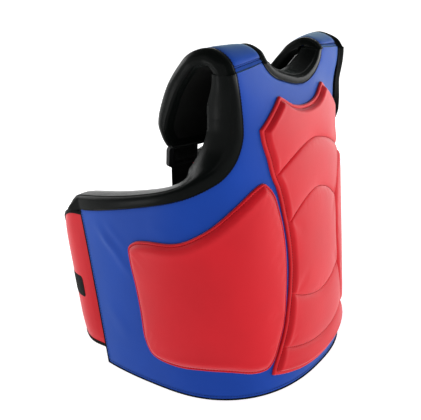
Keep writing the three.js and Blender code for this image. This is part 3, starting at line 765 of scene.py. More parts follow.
def leather(name, colour, roughness, specular, veil, veil_tint):
    """Coated synthetic leather: pebbled grain, soft waves, slightly uneven colour and gloss."""
    return surface(name, colour, (0.94, 1.05), [
        layer("Noise", 11, Detail=4.0),
        layer("Noise", 38, 0.25, 0.0008, Detail=2.0),
        layer("Voronoi", 620, 0.35, 0.00025, feature="SMOOTH_F1", Smoothness=0.6),
        layer("Noise", 1900, 0.2, 0.00008, Detail=3.0),
    ], 0.05, Roughness=roughness, Specular_IOR_Level=specular,
        Sheen_Weight=veil, Sheen_Roughness=0.45, Sheen_Tint=(*veil_tint, 1))


def woven(name, ribs):
    """Narrow woven webbing: ribs across and bars along, laid out on the strip's own coordinates."""
    return surface(name, (0.005, 0.005, 0.005), (0.7, 1.35), [
        layer("Wave", ribs, 0.6, 0.0004, True, bands_direction="X", Distortion=0.0),
        layer("Wave", ribs * 1.3, 0.5, 0.0003, True, bands_direction="Y", Distortion=0.0),
        layer("Noise", 900, 0.2, 0.0002, Detail=2.0),
    ], Roughness=0.75, Specular_IOR_Level=0.06, Sheen_Weight=0.03)


def sewing_thread(name, colour):
    return surface(name, colour, (0.75, 1.25), [
        layer("Wave", 900, 0.5, 0.0002, bands_direction="DIAGONAL", Distortion=1.0),
    ], Roughness=0.7, Specular_IOR_Level=0.05)


BLUE = leather("blue_leather", (0.005, 0.041, 0.29), 0.46, 0.06, 0.24, (0.6, 1, 0.95))
RED = leather("red_leather", (0.5, 0.005, 0.012), 0.46, 0.14, 0.22, (1, 0.9, 0.93))
BLACK = leather("black_leather", (0.0018, 0.0024, 0.0022), 0.24, 0.04, 0.02, (0.85, 1, 0.95))
LINING_CLOTH = surface("lining_cloth", (0.003, 0.0032, 0.003), (0.85, 1.2), [
    layer("Noise", 26, 0.3, 0.0012, Detail=3.0),
    layer("Voronoi", 1100, 0.4, 0.0002, feature="F1"),
], Roughness=0.6, Specular_IOR_Level=0.05, Sheen_Weight=0.02, Sheen_Roughness=0.4)
WEBBING = woven("webbing", 260)
CLOSURE = woven("closure_webbing", 220)
PLASTIC = surface("slider_plastic", (0.012, 0.012, 0.013), (0.9, 1.15), [
    layer("Noise", 60, Detail=2.0),
    layer("Noise", 1400, 0.3, 0.0001, Detail=2.0),
], Roughness=0.4, Specular_IOR_Level=0.12)
BLACK_THREAD = sewing_thread("black_thread", (0.01, 0.01, 0.012))
NAVY_THREAD = sewing_thread("navy_thread", (0.012, 0.025, 0.12))
RED_THREAD = sewing_thread("red_thread", (0.24, 0.006, 0.012))


# Stitches

STITCH = 3.2
STITCH_GAP = 1.2
THREAD = 0.85
STITCH_SECTIONS = [
    # share of the length, share of the thread's width, share of the thread's height
    (-0.5, 0.3, -0.4), (-0.34, 0.85, 0.25), (0, 1, 0.5), (0.34, 0.85, 0.25), (0.5, 0.3, -0.4),
]
STITCH_SIDES = 6
STITCH_SAMPLES = 8


def stitch_row(line, normals):
    """Points and faces of a row of stitches laid along a line on a surface."""
    pitch = STITCH + STITCH_GAP
    rows = respaced(np.hstack([line, normals]), pitch / STITCH_SAMPLES)
    run = along(rows[:, :3])
    mids = np.arange(STITCH_GAP, run[-1] - STITCH, pitch) + STITCH / 2
    at, ahead, behind = (at_run(rows, run, mids + k * STITCH / 2) for k in (0, 1, -1))
    forward = unit((ahead - behind)[:, :3])
    up = unit(at[:, 3:] - forward * (at[:, 3:] * forward).sum(1, keepdims=True))
    side = np.cross(forward, up)
    parts = []
    for share, width, lift in STITCH_SECTIONS:
        for a in np.arange(STITCH_SIDES) * 2 * math.pi / STITCH_SIDES:
            offset = (forward * share * STITCH + side * math.cos(a) * width * THREAD / 2
                      + up * (lift + 0.5 * math.sin(a) * width) * THREAD)
            parts.append(at[:, :3] + offset)
    points = np.stack(parts, 1)
    shapes = [sweep(one.reshape(len(STITCH_SECTIONS), STITCH_SIDES, 3)) for one in points]
    return joined(*shapes)


def joined(*shapes):
    points, faces, count = [], [], 0
    for p, f in shapes:
        points.append(p)
        faces += [[i + count for i in face] for face in f]
        count += len(p)
    return np.vstack(points), faces


def offset_line(line, inside):
    """A flat line moved sideways to its right by a distance."""
    line = respaced(line)
    run = unit(np.gradient(line, axis=0))
    return line + np.stack([run[:, 1], -run[:, 0]], 1) * inside


def face_stitches(line, height):
    """Stitches along a line given by girth and height on the outer face."""
    at = respaced(line).T
    return stitch_row(on_face(*at, height), face_normal(*at))


# Cloth

CLOTH_FRAMES = 20
CLOTH_PRESSURE = 4
CLOTH_STIFFNESS = 15
CLOTH_STRIDE = 2


def swollen(grid, held, cap):
    """How far each point of a covered pad's face moves along its normal when air fills it, by simulation.

    The face is a grid of points in millimetres; held marks those sewn down. No point moves past the cap.
    """
    coarse, pins = grid[::CLOTH_STRIDE, ::CLOTH_STRIDE], held[::CLOTH_STRIDE, ::CLOTH_STRIDE]
    rows, columns = coarse.shape[:2]
    mesh = bpy.data.meshes.new("swell")
    mesh.from_pydata((coarse.reshape(-1, 3) * MM).tolist(), [], grid_cells(rows, columns).tolist())
    mesh.update()
    obj = linked("swell", mesh)
    group = obj.vertex_groups.new(name="sewn")
    group.add(np.flatnonzero(pins.ravel()).tolist(), 1.0, "REPLACE")
    cloth = obj.modifiers.new("cloth", "CLOTH")
    cloth.settings.vertex_group_mass = "sewn"
    cloth.settings.use_pressure = True
    cloth.settings.uniform_pressure_force = CLOTH_PRESSURE
    cloth.settings.effector_weights.gravity = 0
    cloth.settings.tension_stiffness = CLOTH_STIFFNESS
    cloth.settings.compression_stiffness = CLOTH_STIFFNESS
    cloth.point_cache.frame_end = CLOTH_FRAMES
    for step in range(1, CLOTH_FRAMES + 1):
        bpy.context.scene.frame_set(step)
    ready = obj.evaluated_get(bpy.context.evaluated_depsgraph_get())
    after = np.empty(len(mesh.vertices) * 3)
    ready.data.vertices.foreach_get("co", after)
    normals = np.empty(len(mesh.vertices) * 3)
    mesh.vertex_normals.foreach_get("vector", normals)
    moved = (after.reshape(-1, 3) / MM - coarse.reshape(-1, 3)) * normals.reshape(-1, 3)
    out = cap * np.tanh(moved.sum(1) / cap).reshape(rows, columns)
    bpy.data.objects.remove(obj)
    bpy.data.meshes.remove(mesh)
    bpy.context.scene.frame_set(1)
    at_rows = np.linspace(0, rows - 1, grid.shape[0])
    at_columns = np.linspace(0, columns - 1, grid.shape[1])
    wide = np.stack([np.interp(at_columns, np.arange(columns), row) for row in out])
    return np.stack([np.interp(at_rows, np.arange(rows), wide[:, c]) for c in range(grid.shape[1])], 1)


# Body cover, lining and hem

def cover_grid(chest, flank, low, high):
    """Girth, height and cells of the cover's grid; the flank ends at the armhole's foot."""
    half = np.concatenate([np.linspace(0, 1, chest), np.linspace(1, 2, flank)[1:]])
    u = np.concatenate([-half[:0:-1], half])
    v = np.concatenate([np.linspace(0, 1, low), np.linspace(1, 2, high)[1:]])
    uu, vv = (at.ravel() for at in np.meshgrid(u, v))
    cells = grid_cells(len(v), len(u))
    beyond = (vv[cells].min(1) >= 1) & (np.abs(uu[cells]).max(1) > 1 + TINY)
    return *panel(uu, vv), cells[~beyond]


def folds(girth, z):
    """Soft ridges that the cover makes over the flank, on both sides."""
    total = np.zeros(len(girth))
    for g0, z0, g1, z1, half, rise in FLANK_FOLDS:
        for side in (1, -1):
            a, b = np.array([side * g0, z0]), np.array([side * g1, z1])
            rel = np.stack([girth, z], 1) - a
            share = np.clip((rel @ (b - a)) / ((b - a) @ (b - a)), 0, 1)
            off = np.linalg.norm(rel - share[:, None] * (b - a), axis=1)
            ends = smooth(share * FOLD_FADE) * smooth((1 - share) * FOLD_FADE)
            total += rise * ends * np.exp(-(off / half) ** 2)
    return total


def build_cover():
    girth, z, cells = cover_grid(chest=44, flank=104, low=64, high=18)
    right = armhole_line()
    seams = np.vstack([respaced(line) for line in (right, right * (-1, 1), neck_line())])
    over_hem = np.maximum(z - HEM, 0) * HEM_DIP_SLOPE + HEM_DIP_START
    near = np.minimum(distance(np.stack([girth, z], 1), seams), over_hem)
    depth = COVER_SEAM_DIP * np.exp(-near / COVER_SEAM_REACH) - folds(girth, z)
    top = on_face(girth, np.where(z <= HEM, COVER_FOOT, z), -depth)
    bottom = in_wall(girth, z, wall(girth, z) - LINING - FIT)
    piece("body_cover", solid(cells, top, bottom), BLUE, "blue_cover", ["body_panel"], fill=0.9)


def build_lining():
    girth, z, cells = cover_grid(chest=30, flank=70, low=50, high=14)
    depth = wall(girth, z)
    shape = solid(cells, in_wall(girth, z, depth - LINING), in_wall(girth, z, depth))
    piece("inner_lining", shape, LINING_CLOTH, "black_lining", ["body_lining"], fill=0.8)


def edge_tube(section, path, out, thick, place):
    """Tube along a flat path; a section's row is its reach out, its share of the thickness and more depth."""
    rings = []
    for reach, share, more in section:
        at = path + out * reach
        rings.append(place(*at.T, share * thick + more))
    return sweep(np.stack(rings, 1))


def build_hem():
    back = panel_line(-2, np.linspace(HEM_BACK_TOP, 0, HEM_BACK_STEPS))
    corner = len(back) - 1
    path = np.vstack([back[:-1], hem_line(), (back * (-1, 1))[::-1][1:]])
    out = np.zeros_like(path)
    out[:corner + 1, 0] = -1
    out[corner:-corner, 1] = -1
    out[-corner - 1:, 0] = 1
    piece("hem_edge", edge_tube(HEM_SECTION, path, out, wall(*path.T), in_wall),
          BLACK, "black_edging", ["hem_binding"], fill=0.7)
    stitches = face_stitches(path - out * HEM_STITCH_INSET, HEM_STITCH_LIFT)
    piece("hem_stitches", stitches, NAVY_THREAD, "blue_cover")


# Rolled rims

def rim_directions(line, ends):
    """Flat directions out from a line on the face, eased to the given ones at both ends."""
    girth, z = line.T
    per_girth = np.linalg.norm(outer(girth + 1, z) - outer(girth - 1, z), axis=1) / 2
    per_height = np.linalg.norm(outer(girth, z + 1) - outer(girth, z - 1), axis=1) / 2
    run = np.gradient(line, axis=0)
    out = unit(np.stack([-run[:, 1] * per_height, run[:, 0] * per_girth], 1))
    gone = along(line)
    for end, far in ((ends[0], gone), (ends[1], gone[-1] - gone)):
        w = smooth(1 - far / RIM_END_EASE)[:, None]
        out = unit(out * (1 - w) + unit(np.asarray(end, float)) * w)
    return out / np.stack([per_girth, per_height], 1)


def finer(profile):
    """A closed profile, rounded through its points and evenly filled between them."""
    p = np.asarray(profile, float)
    looped = np.vstack([p[-2:], p, p[:3]])
    spans = len(looped) - 1
    steps = 2 + len(p) * np.arange(RIM_POINTS) / RIM_POINTS
    return curve(looped, steps / spans)


def past_flank(girth, z):
    """How far points lie behind the right flank's back edge."""
    return np.maximum(-girth - BACK_EDGE_AT_HEM - BACK_EDGE_SLANT * z, 0)


def in_rim(girth, z, depth):
    """As in_wall, but behind the right flank the rim follows the wing."""
    past = past_flank(girth, z)
    edge = girth + past
    bend = np.maximum(past - WING_STRAIGHT, 0) / WING_CORNER
    step = np.stack([WING_CORNER * (1 - np.cos(bend)),
                     np.minimum(past, WING_STRAIGHT) + WING_CORNER * np.sin(bend), 0 * bend], 1)
    into = inward(edge, z)
    into_wing = np.stack([np.cos(bend), -np.sin(bend), 0 * bend], 1)
    into = unit(into + (into_wing - into) * smooth(past / BACK_TURN)[:, None])
    return outer(edge, z) + step + into * depth[:, None]


def rim(line, ends, share, proud):
    """Rolled rim beside a line on the face; proud is how far its outer side swells over the cover."""
    out = rim_directions(line, ends)
    width = EDGING * share
    thick = wall(*line.T) * (1 - BACK_THINS * smooth(past_flank(*line.T) / BACK_OVERHANG))
    roundness = between(RIM_ROUNDS, line[:, 1])
    rings = []
    for crisp, soft in zip(finer(FLANK_RIM), finer(CHEST_RIM)):
        reach, part, more = crisp[:, None] + (soft - crisp)[:, None] * roundness
        at = line + out * (reach * width)[:, None]
        swell = proud * (1 - part) * smooth(reach * RIM_SWELL_RISE)
        rings.append(in_rim(*at.T, part * thick + more - swell))
    return sweep(np.stack(rings, 1))


def seam_run():
    """Flat direction of the shoulder seam, from the neck to the right arm."""
    arm, inside = panel_line([-1, -SEAM_INSIDE], 2)
    return arm - inside


def rim_stitches(line):
    """Stitches on the cover beside a rim's line."""
    return face_stitches(offset_line(line, RIM_STITCH_INSET), RIM_STITCH_HEIGHT)


def build_rims():
    to_arm = seam_run()
    line = armhole_line()
    start = line[0] - (BACK_OVERHANG, BACK_OVERHANG * BACK_OVERHANG_DROP)
    longer = respaced(np.vstack([start, line]), RIM_STEP)
    share = table(ARMHOLE_EDGING, longer[:, 1]) * lerp(BACK_TAPER, along(longer))
    swells = {
        "right": RIM_PROUD * between(RIM_PROUD_HEIGHTS, longer[:, 1]),
        "left": lerp(LEFT_RIM_SWELL, longer[:, 1]),
    }
    for side, swell in swells.items():
        shape = rim(longer, ((-BACK_EDGE_SLANT, 1), to_arm), share, swell)
        piece(f"armhole_rim_{side}", shape, BLACK, "black_edging",
              [f"armhole_edging_{side}"], fill=0.8, mirror=side == "left")
    pair("armhole_stitches", rim_stitches(line[RIM_STITCH_FROM:]), BLACK_THREAD, "black_edging")
    neck = neck_line()
    shape = rim(respaced(neck, RIM_STEP), (-to_arm, to_arm * (1, -1)), 1, RIM_PROUD)
    piece("neck_rim", shape, BLACK, "black_edging", ["neck_edging"], fill=0.8)
    stitches = rim_stitches(neck[RIM_STITCH_FROM:-RIM_STITCH_FROM])
    piece("neck_stitches", stitches, BLACK_THREAD, "black_edging")


# Raised pads

def pad_height(edge, flange, bevel, rise, dome):
    """Height of a pad over the cover by distance from its outline."""
    rounded = FLANGE * np.sqrt(1 - (1 - np.clip(edge / FLANGE_ROUND, 0, 1)) ** 2)
    crown = FLANGE_CROWN * np.sin(math.pi * np.clip(edge / flange, 0, 1))
    dip = STITCH_DIP * np.exp(-((edge - flange) / STITCH_DIP_REACH) ** 2)
    up = 1 - (1 - np.clip((edge - flange) / bevel, 0, 1)) ** BEVEL_POWER
    up = up + PAD_LIP * np.exp(-((edge - flange - bevel) / (PAD_LIP_REACH * bevel)) ** 2)
    swell = dome * (1 - np.exp(-np.maximum(edge - flange, 0) / DOME_REACH))
    return rounded + crown - dip + rise * up + swell


def cushion(flat, shape, height, held, cap):
    """Closed pad over its grid of girths and heights, swollen by the cloth simulation."""
    def face(level):
        return on_face(*flat.T, level).reshape(*shape, 3)
    swell = swollen(face(height), held.reshape(shape), cap)
    return sheet_solid(face(height + swell.ravel()), face(PAD_GAP))


def side_loop():
    """Closed outline of the right side pad at about 1 mm steps, its corners rounded, and where they fall."""
    lines = (SIDE_FOOT, SIDE_FRONT, SIDE_HEAD[::-1], SIDE_BACK[::-1])
    edges = [respaced(even(line, np.linspace(0, 1, OUTLINE_SAMPLES)), 1)[:-1] for line in lines]
    corners = np.cumsum([0] + [len(edge) for edge in edges])
    loop = np.vstack(edges)
    offsets = np.arange(-3 * SIDE_CORNER, 3 * SIDE_CORNER + 1)
    weights = np.exp(-0.5 * (offsets / SIDE_CORNER) ** 2)
    rounded = sum(w * np.roll(loop, k, 0) for w, k in zip(weights, offsets)) / weights.sum()
    return np.vstack([rounded, rounded[:1]]), corners


def side_edges():
    """The side pad's foot, front, head and back lines, cut from its rounded outline."""
    loop, corners = side_loop()
    foot, front, head, back = (loop[a:b + 1] for a, b in zip(corners, corners[1:]))
    return foot, front, head[::-1], back[::-1]


def at_share(line, share):
    run = along(line)
    return at_run(line, run, share * run[-1])


def side_patch(across, up):
    """Girth and height on the side pad: across from back to front, up from foot to head."""
    foot, front, head, back = side_edges()
    a, b = across[:, None], up[:, None]
    sides = ((1 - b) * at_share(foot, across) + b * at_share(head, across)
             + (1 - a) * at_share(back, up) + a * at_share(front, up))
    return (sides - (1 - a) * (1 - b) * foot[0] - a * (1 - b) * foot[-1]
            - (1 - a) * b * head[0] - a * b * head[-1])


def inset_loop(loop, gap):
    """A closed flat outline moved inwards, with the stretches that cross cut away."""
    line = respaced(loop)[:-1]
    run = unit(np.roll(line, -1, 0) - np.roll(line, 1, 0))
    area = np.sum(line[:, 0] * np.roll(line[:, 1], -1) - np.roll(line[:, 0], -1) * line[:, 1])
    inner = line + np.stack([-run[:, 1], run[:, 0]], 1) * gap * np.sign(area)
    kept = inner[distance(inner, line) > gap * INSET_KEPT]
    return np.vstack([kept, kept[:1]])


def build_side_pads():
    a, b = np.meshgrid(*(clustered(count, GRID_ENDS) for count in SIDE_GRID))
    flat = side_patch(a.ravel(), b.ravel()) * (-1, 1)
    outline = side_loop()[0] * (-1, 1)
    edge = distance(flat, outline)
    height = PAD_GAP + pad_height(edge, SIDE_FLANGE_WIDTH, SIDE_BEVEL, SIDE_RISE, SIDE_DOME)
    held = edge < SIDE_FLANGE_WIDTH + SIDE_HELD * SIDE_BEVEL
    shape = cushion(flat, a.shape, height, held, SIDE_SWELL)
    pair("side_cushion", shape, RED, "red_pad", "side_pad", fill=0.85)
    stitches = face_stitches(inset_loop(outline, SIDE_FLANGE_WIDTH), PAD_STITCH_HEIGHT)
    pair("side_stitches", stitches, RED_THREAD, "red_pad")


def centre_line(k, share):
    if k == len(CENTRE_LINES):
        peak = CENTRE_SHOULDER[0][0]
        return np.where(share <= peak, table(CENTRE_NOTCH, share), lerp(CENTRE_SHOULDER, share))
    middle, ends, power = CENTRE_LINES[k]
    return middle + (ends - middle) * share ** power


def centre_point(share, z):
    return np.stack([share * table(CENTRE_HALF, z), z], -1)


def centre_row(k, shares):
    """Girths and heights along one of the centre pad's lines."""
    return centre_point(shares, centre_line(k, np.abs(shares)))


def centre_outline():
    shares = np.linspace(-1, 1, CENTRE_END_SAMPLES)
    foot, head = centre_row(0, shares), centre_row(len(CENTRE_LINES), shares)
    side = centre_point(1, np.linspace(foot[-1, 1], head[-1, 1], CENTRE_SIDE_SAMPLES))
    return np.vstack([foot, side[1:], head[::-1][1:], (side * (-1, 1))[::-1][1:]])


def build_centre_pad():
    half = clustered(CENTRE_COLUMNS, CENTRE_COLUMN_ENDS)
    shares = np.concatenate([half[:-1] - 1, half])
    steps = clustered(CENTRE_ROWS, CENTRE_ROW_ENDS)
    bands = range(len(CENTRE_LINES))
    rows = []
    for k in bands:
        low, high = centre_line(k, np.abs(shares)), centre_line(k + 1, np.abs(shares))
        for step in steps if k == bands[-1] else steps[:-1]:
            rows.append(centre_point(shares, low + step * (high - low)))
    flat = np.vstack(rows)
    outline = respaced(centre_outline(), 1)
    edge = distance(flat, outline)
    grooves = [centre_row(k, np.linspace(-1, 1, OUTLINE_SAMPLES)) for k in bands[1:]]
    groove = distance(flat, np.vstack([respaced(line, GROOVE_STEP) for line in grooves]))
    sunk = (GROOVE_SHARP * np.exp(-groove / GROOVE_SHARP_REACH)
            + GROOVE_SOFT * np.exp(-groove / GROOVE_SOFT_REACH))
    base = pad_height(edge, CENTRE_FLANGE_WIDTH, CENTRE_BEVEL, 0, 0)
    full = pad_height(edge, CENTRE_FLANGE_WIDTH, CENTRE_BEVEL, CENTRE_RISE, CENTRE_DOME)
    height = PAD_GAP + base + (full - base) * (1 - sunk)
    held = (edge < CENTRE_FLANGE_WIDTH + CENTRE_HELD * CENTRE_BEVEL) | (groove < GROOVE_SHARP_REACH)
    shape = cushion(flat, (len(rows), len(shares)), height, held, CENTRE_SWELL)
    piece("centre_cushion", shape, RED, "red_pad", ["centre_pad"], fill=0.85)
    stitches = [face_stitches(inset_loop(outline, CENTRE_FLANGE_WIDTH), PAD_STITCH_HEIGHT)]
    for line in grooves:
        inside = distance(line, outline) > CENTRE_FLANGE_WIDTH + CENTRE_BEVEL
        stitches.append(face_stitches(line[inside], GROOVE_STITCH_HEIGHT))
    piece("centre_stitches", joined(*stitches), RED_THREAD, "red_pad")


# Shoulder straps

def run_of(points, t):
    """Directions along a curve at t."""
    ahead, behind = np.minimum(t + CURVE_STEP, 1), np.maximum(t - CURVE_STEP, 0)
    return unit(curve(points, ahead) - curve(points, behind))


def strap_frames(t, drop=0):
    """Middle, across, inside direction, width and thickness of the right strap at t.

    Below 0 the strap goes straight on from its first row. drop lowers its arch.
    """
    rows = np.asarray(STRAP, float)
    arm_rows, neck_rows, thick_rows = rows[:, :3], rows[:, 3:6], rows[:, 6]
    early, t = np.minimum(t, 0), np.maximum(t, 0)
    arm, neck = curve(arm_rows, t), curve(neck_rows, t)
    forward = unit(run_of(arm_rows, t) + run_of(neck_rows, t))
    width = np.linalg.norm(neck - arm, axis=1)
    across = unit(neck - arm)
    middle = (arm + neck) / 2
    past = between(BEND_ENDS, t)[:, None]
    to_axis = np.stack([0 * t, BEND_AXIS[0] - middle[:, 1], BEND_AXIS[1] - middle[:, 2]], 1)
    inside = unit(unit(to_axis) * (1 - past) + unit(np.cross(forward, across)) * past)
    thick = np.interp(t * (len(rows) - 1), np.arange(len(rows)), thick_rows)
    middle[:, 2] -= drop * np.sin(math.pi * np.clip(t / LEFT_ARCH_END, 0, 1))
    middle += forward * (early * STRAP_LENGTH)[:, None]
    return middle, across, inside, width, thick


def in_strap(t, b, depth, drop):
    middle, across, inside, _, _ = strap_frames(t, drop)
    return middle + across * b[:, None] + inside * np.asarray(depth)[..., None]


def strap_half(t):
    width = strap_frames(t)[3]
    blunt = np.clip((t - TONGUE_FROM) / (TONGUE_TIP - TONGUE_FROM), 0, 1)
    return (width / 2 - EDGING) * np.sqrt(1 - blunt ** 2)


def strap_outline():
    """Edge of the strap's cover by t and distance across, from the neck side round the tongue."""
    t = np.linspace(-STRAP_SUNK / STRAP_LENGTH, TONGUE_END, STRAP_EDGE_STEPS)
    side = np.stack([t, strap_half(t)], 1)
    end = np.linspace(side[-1], side[-1] * (1, -1), TONGUE_STEPS)
    return np.vstack([side, end[1:-1], (side * (1, -1))[::-1]])


def strap_rim(drop, proud):
    """Rolled rim round the strap; proud is how far it swells over the cover beside the arm."""
    flat = respaced(strap_outline() * (STRAP_LENGTH, 1), STRAP_RIM_STEP)
    run = np.gradient(flat, axis=0)
    out = unit(np.stack([-run[:, 1], run[:, 0]], 1))
    padded = np.pad(out, ((STRAP_RIM_TURN, STRAP_RIM_TURN), (0, 0)), "edge")
    weights = np.hanning(2 * STRAP_RIM_TURN + 1)
    out = unit(sum(w * padded[k:k + len(out)] for k, w in enumerate(weights)))
    out[:STRAP_RIM_SQUARE] = (0, 1)
    out[-STRAP_RIM_SQUARE:] = (0, -1)
    thick = strap_frames(flat[:, 0] / STRAP_LENGTH)[4]
    rings = []
    for reach, part, more in finer(CHEST_RIM):
        run, b = (flat + out * reach * EDGING).T
        swell = proud * (1 - part) * smooth(reach * RIM_SWELL_RISE)
        swell = swell * smooth(-b / STRAP_SWELL_ACROSS) * smooth(1 - run / STRAP_SWELL_LENGTH)
        depth = part * thick + more * thick / STRAP_RIM_THICK - swell
        rings.append(in_strap(run / STRAP_LENGTH, b, depth, drop))
    return sweep(np.stack(rings, 1))


def strap_sheet(counts, drop, depths):
    """Solid over the strap between the two depths that a function gives by t, share, half and thickness."""
    down, across = np.linspace(0, TONGUE_END, counts[0]), np.linspace(-1, 1, counts[1])
    t, share = (at.ravel() for at in np.meshgrid(down, across, indexing="ij"))
    half = strap_half(t)
    faces = depths(t, share, half, strap_frames(t)[4])
    return sheet_solid(*(in_strap(t, share * half, depth, drop).reshape(*counts, 3) for depth in faces))


def cover_depths(t, share, half, thick):
    run = t * STRAP_LENGTH
    crown = STRAP_CROWN * (1 - share ** 4) * smooth(run / STRAP_CROWN_FROM)
    crown -= COVER_SEAM_DIP * np.exp(-half * (1 - np.abs(share)) / COVER_SEAM_REACH)
    seam = SHOULDER_SEAM_DIP * np.exp(-((run - SHOULDER_SEAM) / SHOULDER_SEAM_REACH) ** 2)
    return seam - crown, thick - STRAP_LINING - FIT


def inside_depths(t, share, _, thick):
    return thick - STRAP_LINING, thick + table(STRAP_PUFF, t) * (1 - share ** 4)


def strap_stitches(drop):
    """Two rows across the shoulder seam and one down each side of the cover."""
    def row(t, b, depth):
        return stitch_row(in_strap(t, b, depth, drop), -strap_frames(t, drop)[2])
    rows = []
    for run, depth in SHOULDER_ROWS:
        t = np.full(SHOULDER_ROW_STEPS, run / STRAP_LENGTH)
        crown = STRAP_CROWN * smooth(run / STRAP_CROWN_FROM)
        rows.append(row(t, np.linspace(-1, 1, SHOULDER_ROW_STEPS) * strap_half(t), depth - crown))
    t = np.linspace(STRAP_ROW_END, TONGUE_END - STRAP_ROW_END, STRAP_ROW_STEPS)
    for side in (1, -1):
        rows.append(row(t, side * (strap_half(t) - STRAP_ROW_INSET), STRAP_ROW_DEPTH))
    return joined(*rows)


def build_straps():
    for side, drop, proud in (("right", 0, 0), ("left", LEFT_ARCH_DROP, LEFT_STRAP_PROUD)):
        mirror = side == "left"
        piece(f"strap_cover_{side}", strap_sheet((130, 41), drop, cover_depths), BLUE, "blue_cover",
              [f"strap_pad_{side}"], fill=0.8, mirror=mirror)
        piece(f"strap_inside_{side}", strap_sheet((90, 25), drop, inside_depths), LINING_CLOTH,
              "black_lining", [f"strap_lining_{side}"], fill=0.7, mirror=mirror)
        piece(f"strap_rim_{side}", strap_rim(drop, proud), BLACK, "black_edging",
              [f"strap_edging_{side}"], fill=0.8, mirror=mirror)
        piece(f"strap_stitches_{side}", strap_stitches(drop), BLACK_THREAD, "black_edging", mirror=mirror)


# Webbing and sliders

def web_frames(run):
    """Middle, along, across and face directions of the right webbing by distance, and its length."""
    middle, across, inside, _, _ = strap_frames(np.asarray(WEB_SEWN))
    sewn = middle - inside * (WEB_THICK / 2 + 2 * FIT)
    path = np.asarray(WEB_PATH, float)
    points = np.vstack([sewn, path[:, :3]])
    sides = np.vstack([across, path[:, 3:]])
    fine = np.linspace(0, 1, 2 * CURVE_SAMPLES)
    gone = along(curve(points, fine))
    u = np.interp(run, gone, fine)
    forward = run_of(points, u)
    side = curve(sides, u)
    side = unit(side - forward * (side * forward).sum(1, keepdims=True))
    return curve(points, u), forward, side, np.cross(side, forward), gone[-1]


def web_length():
    return web_frames(np.zeros(1))[4]


def slider_distance():
    """Distance along the webbing to the slider's middle."""
    tip = strap_frames(np.ones(1))[0][0]
    run = np.arange(0, web_length(), SLIDER_SEARCH_STEP)
    at = web_frames(run)[0]
    return run[at[:, 2] > tip[2] - SLIDER_BELOW_TONGUE][-1]


def strip_uv(across, lengths):
    """Coordinates on a strip's two faces, in metres."""
    uv = np.stack(np.meshgrid(across * MM, lengths * MM), -1).reshape(-1, 2)
    return np.vstack([uv, uv])


def web_ribbon(lift):
    run = np.linspace(0, web_length(), WEB_STEPS)
    at, _, side, face, _ = web_frames(run)
    crossing = smooth(1 + (CROSSING_HALF - np.abs(at[:, 0])) / CROSSING_EASE)
    off = lerp(SLIDER_WEAVE, run - slider_distance()) + lift * crossing
    middle = at + face * off[:, None]
    shares = np.linspace(-1, 1, STRIP_COLUMNS)
    across = shares * WEB_WIDTH / 2
    thin = 1 - STRIP_EDGE_THIN * np.abs(shares) ** STRIP_EDGE_POWER
    base = middle[:, None] + side[:, None] * across[None, :, None]
    half = face[:, None] * (thin * WEB_THICK / 2)[None, :, None]
    return sheet_solid(base + half, base - half), strip_uv(across, run)


def slider_shape():
    """Two-slot slider with rounded corners and thicker ends, on the webbing."""
    left, right = SLIDER_ENDS
    near, far, slot = SLOT_NEAR, SLOT_FAR, SLIDER_SLOT_HALF
    a = np.concatenate([np.linspace(left, -slot, 10), np.linspace(-slot, slot, 21)[1:-1],
                        np.linspace(slot, right, 6)])
    half = np.concatenate([np.linspace(0, near, 4), np.linspace(near, far, 6)[1:],
                           np.linspace(far, SLIDER_HALF_LENGTH, 5)[1:]])
    x, y = (v.ravel() for v in np.meshgrid(a, np.concatenate([-half[:0:-1], half])))
    cells = grid_cells(2 * len(half) - 1, len(a))
    mid_x, mid_y = np.abs(x[cells].mean(1)), np.abs(y[cells].mean(1))
    open_cells = (mid_x < slot) & (mid_y > near) & (mid_y < far)
    thick = SLIDER_HALF_THICK + SLIDER_END_THICK * smooth((np.abs(x) - slot) / SLIDER_END_EASE)
    over_x = np.clip(1 - np.where(x < 0, x - left, right - x) / SLIDER_CORNER, 0, 1)
    over_y = np.clip((np.abs(y) - SLIDER_HALF_LENGTH + SLIDER_CORNER) / SLIDER_CORNER, 0, 1)
    x = x - np.sign(x) * SLIDER_CORNER * over_x * (1 - np.sqrt(1 - over_y ** 2 / 2))
    y = y - np.sign(y) * SLIDER_CORNER * over_y * (1 - np.sqrt(1 - over_x ** 2 / 2))
    at, forward, across, face, _ = web_frames(np.array([slider_distance()]))
    flat = at + across * x[:, None] + forward * y[:, None]
    return solid(cells[~open_cells], flat + face * thick[:, None], flat - face * thick[:, None])


def web_box_stitches(start, end):
    """A sewn box with one diagonal on the webbing."""
    half = WEB_WIDTH / 2 - BOX_INSET
    corners = [(start, -half), (end, -half), (end, half), (start, half), (start, -half), (end, half)]
    rows = []
    for a, b in zip(corners, corners[1:]):
        run, off = np.linspace(a, b, BOX_STEPS).T
        at, _, side, face, _ = web_frames(run)
        rows.append(stitch_row(at + side * off[:, None] + face * (WEB_THICK / 2 + BOX_LIFT), face))
    return joined(*rows)


def build_webbing():
    length = web_length()
    boxes = joined(web_box_stitches(*BOX_ON_TONGUE), web_box_stitches(*(length - np.array(BOX_ON_WING))))
    for side, lift in (("right", CROSSING_LIFT), ("left", -CROSSING_LIFT)):
        shape, uv = web_ribbon(lift)
        mirror = side == "left"
        piece(f"web_{side}", shape, WEBBING, "webbing", [f"strap_webbing_{side}"],
              mirror=mirror, uv=uv, sharp=STRIP_SHARP)
        piece(f"web_stitches_{side}", boxes, BLACK_THREAD, "webbing", mirror=mirror)
        slider = piece(f"slider_{side}", slider_shape(), PLASTIC, "black_plastic",
                       [f"strap_slider_{side}"], mirror=mirror)
        edge = slider.modifiers.new("edge", "BEVEL")
        edge.width = SLIDER_EDGE * MM
        edge.segments = 3
        edge.limit_method = "ANGLE"


# Back wings and closure strap

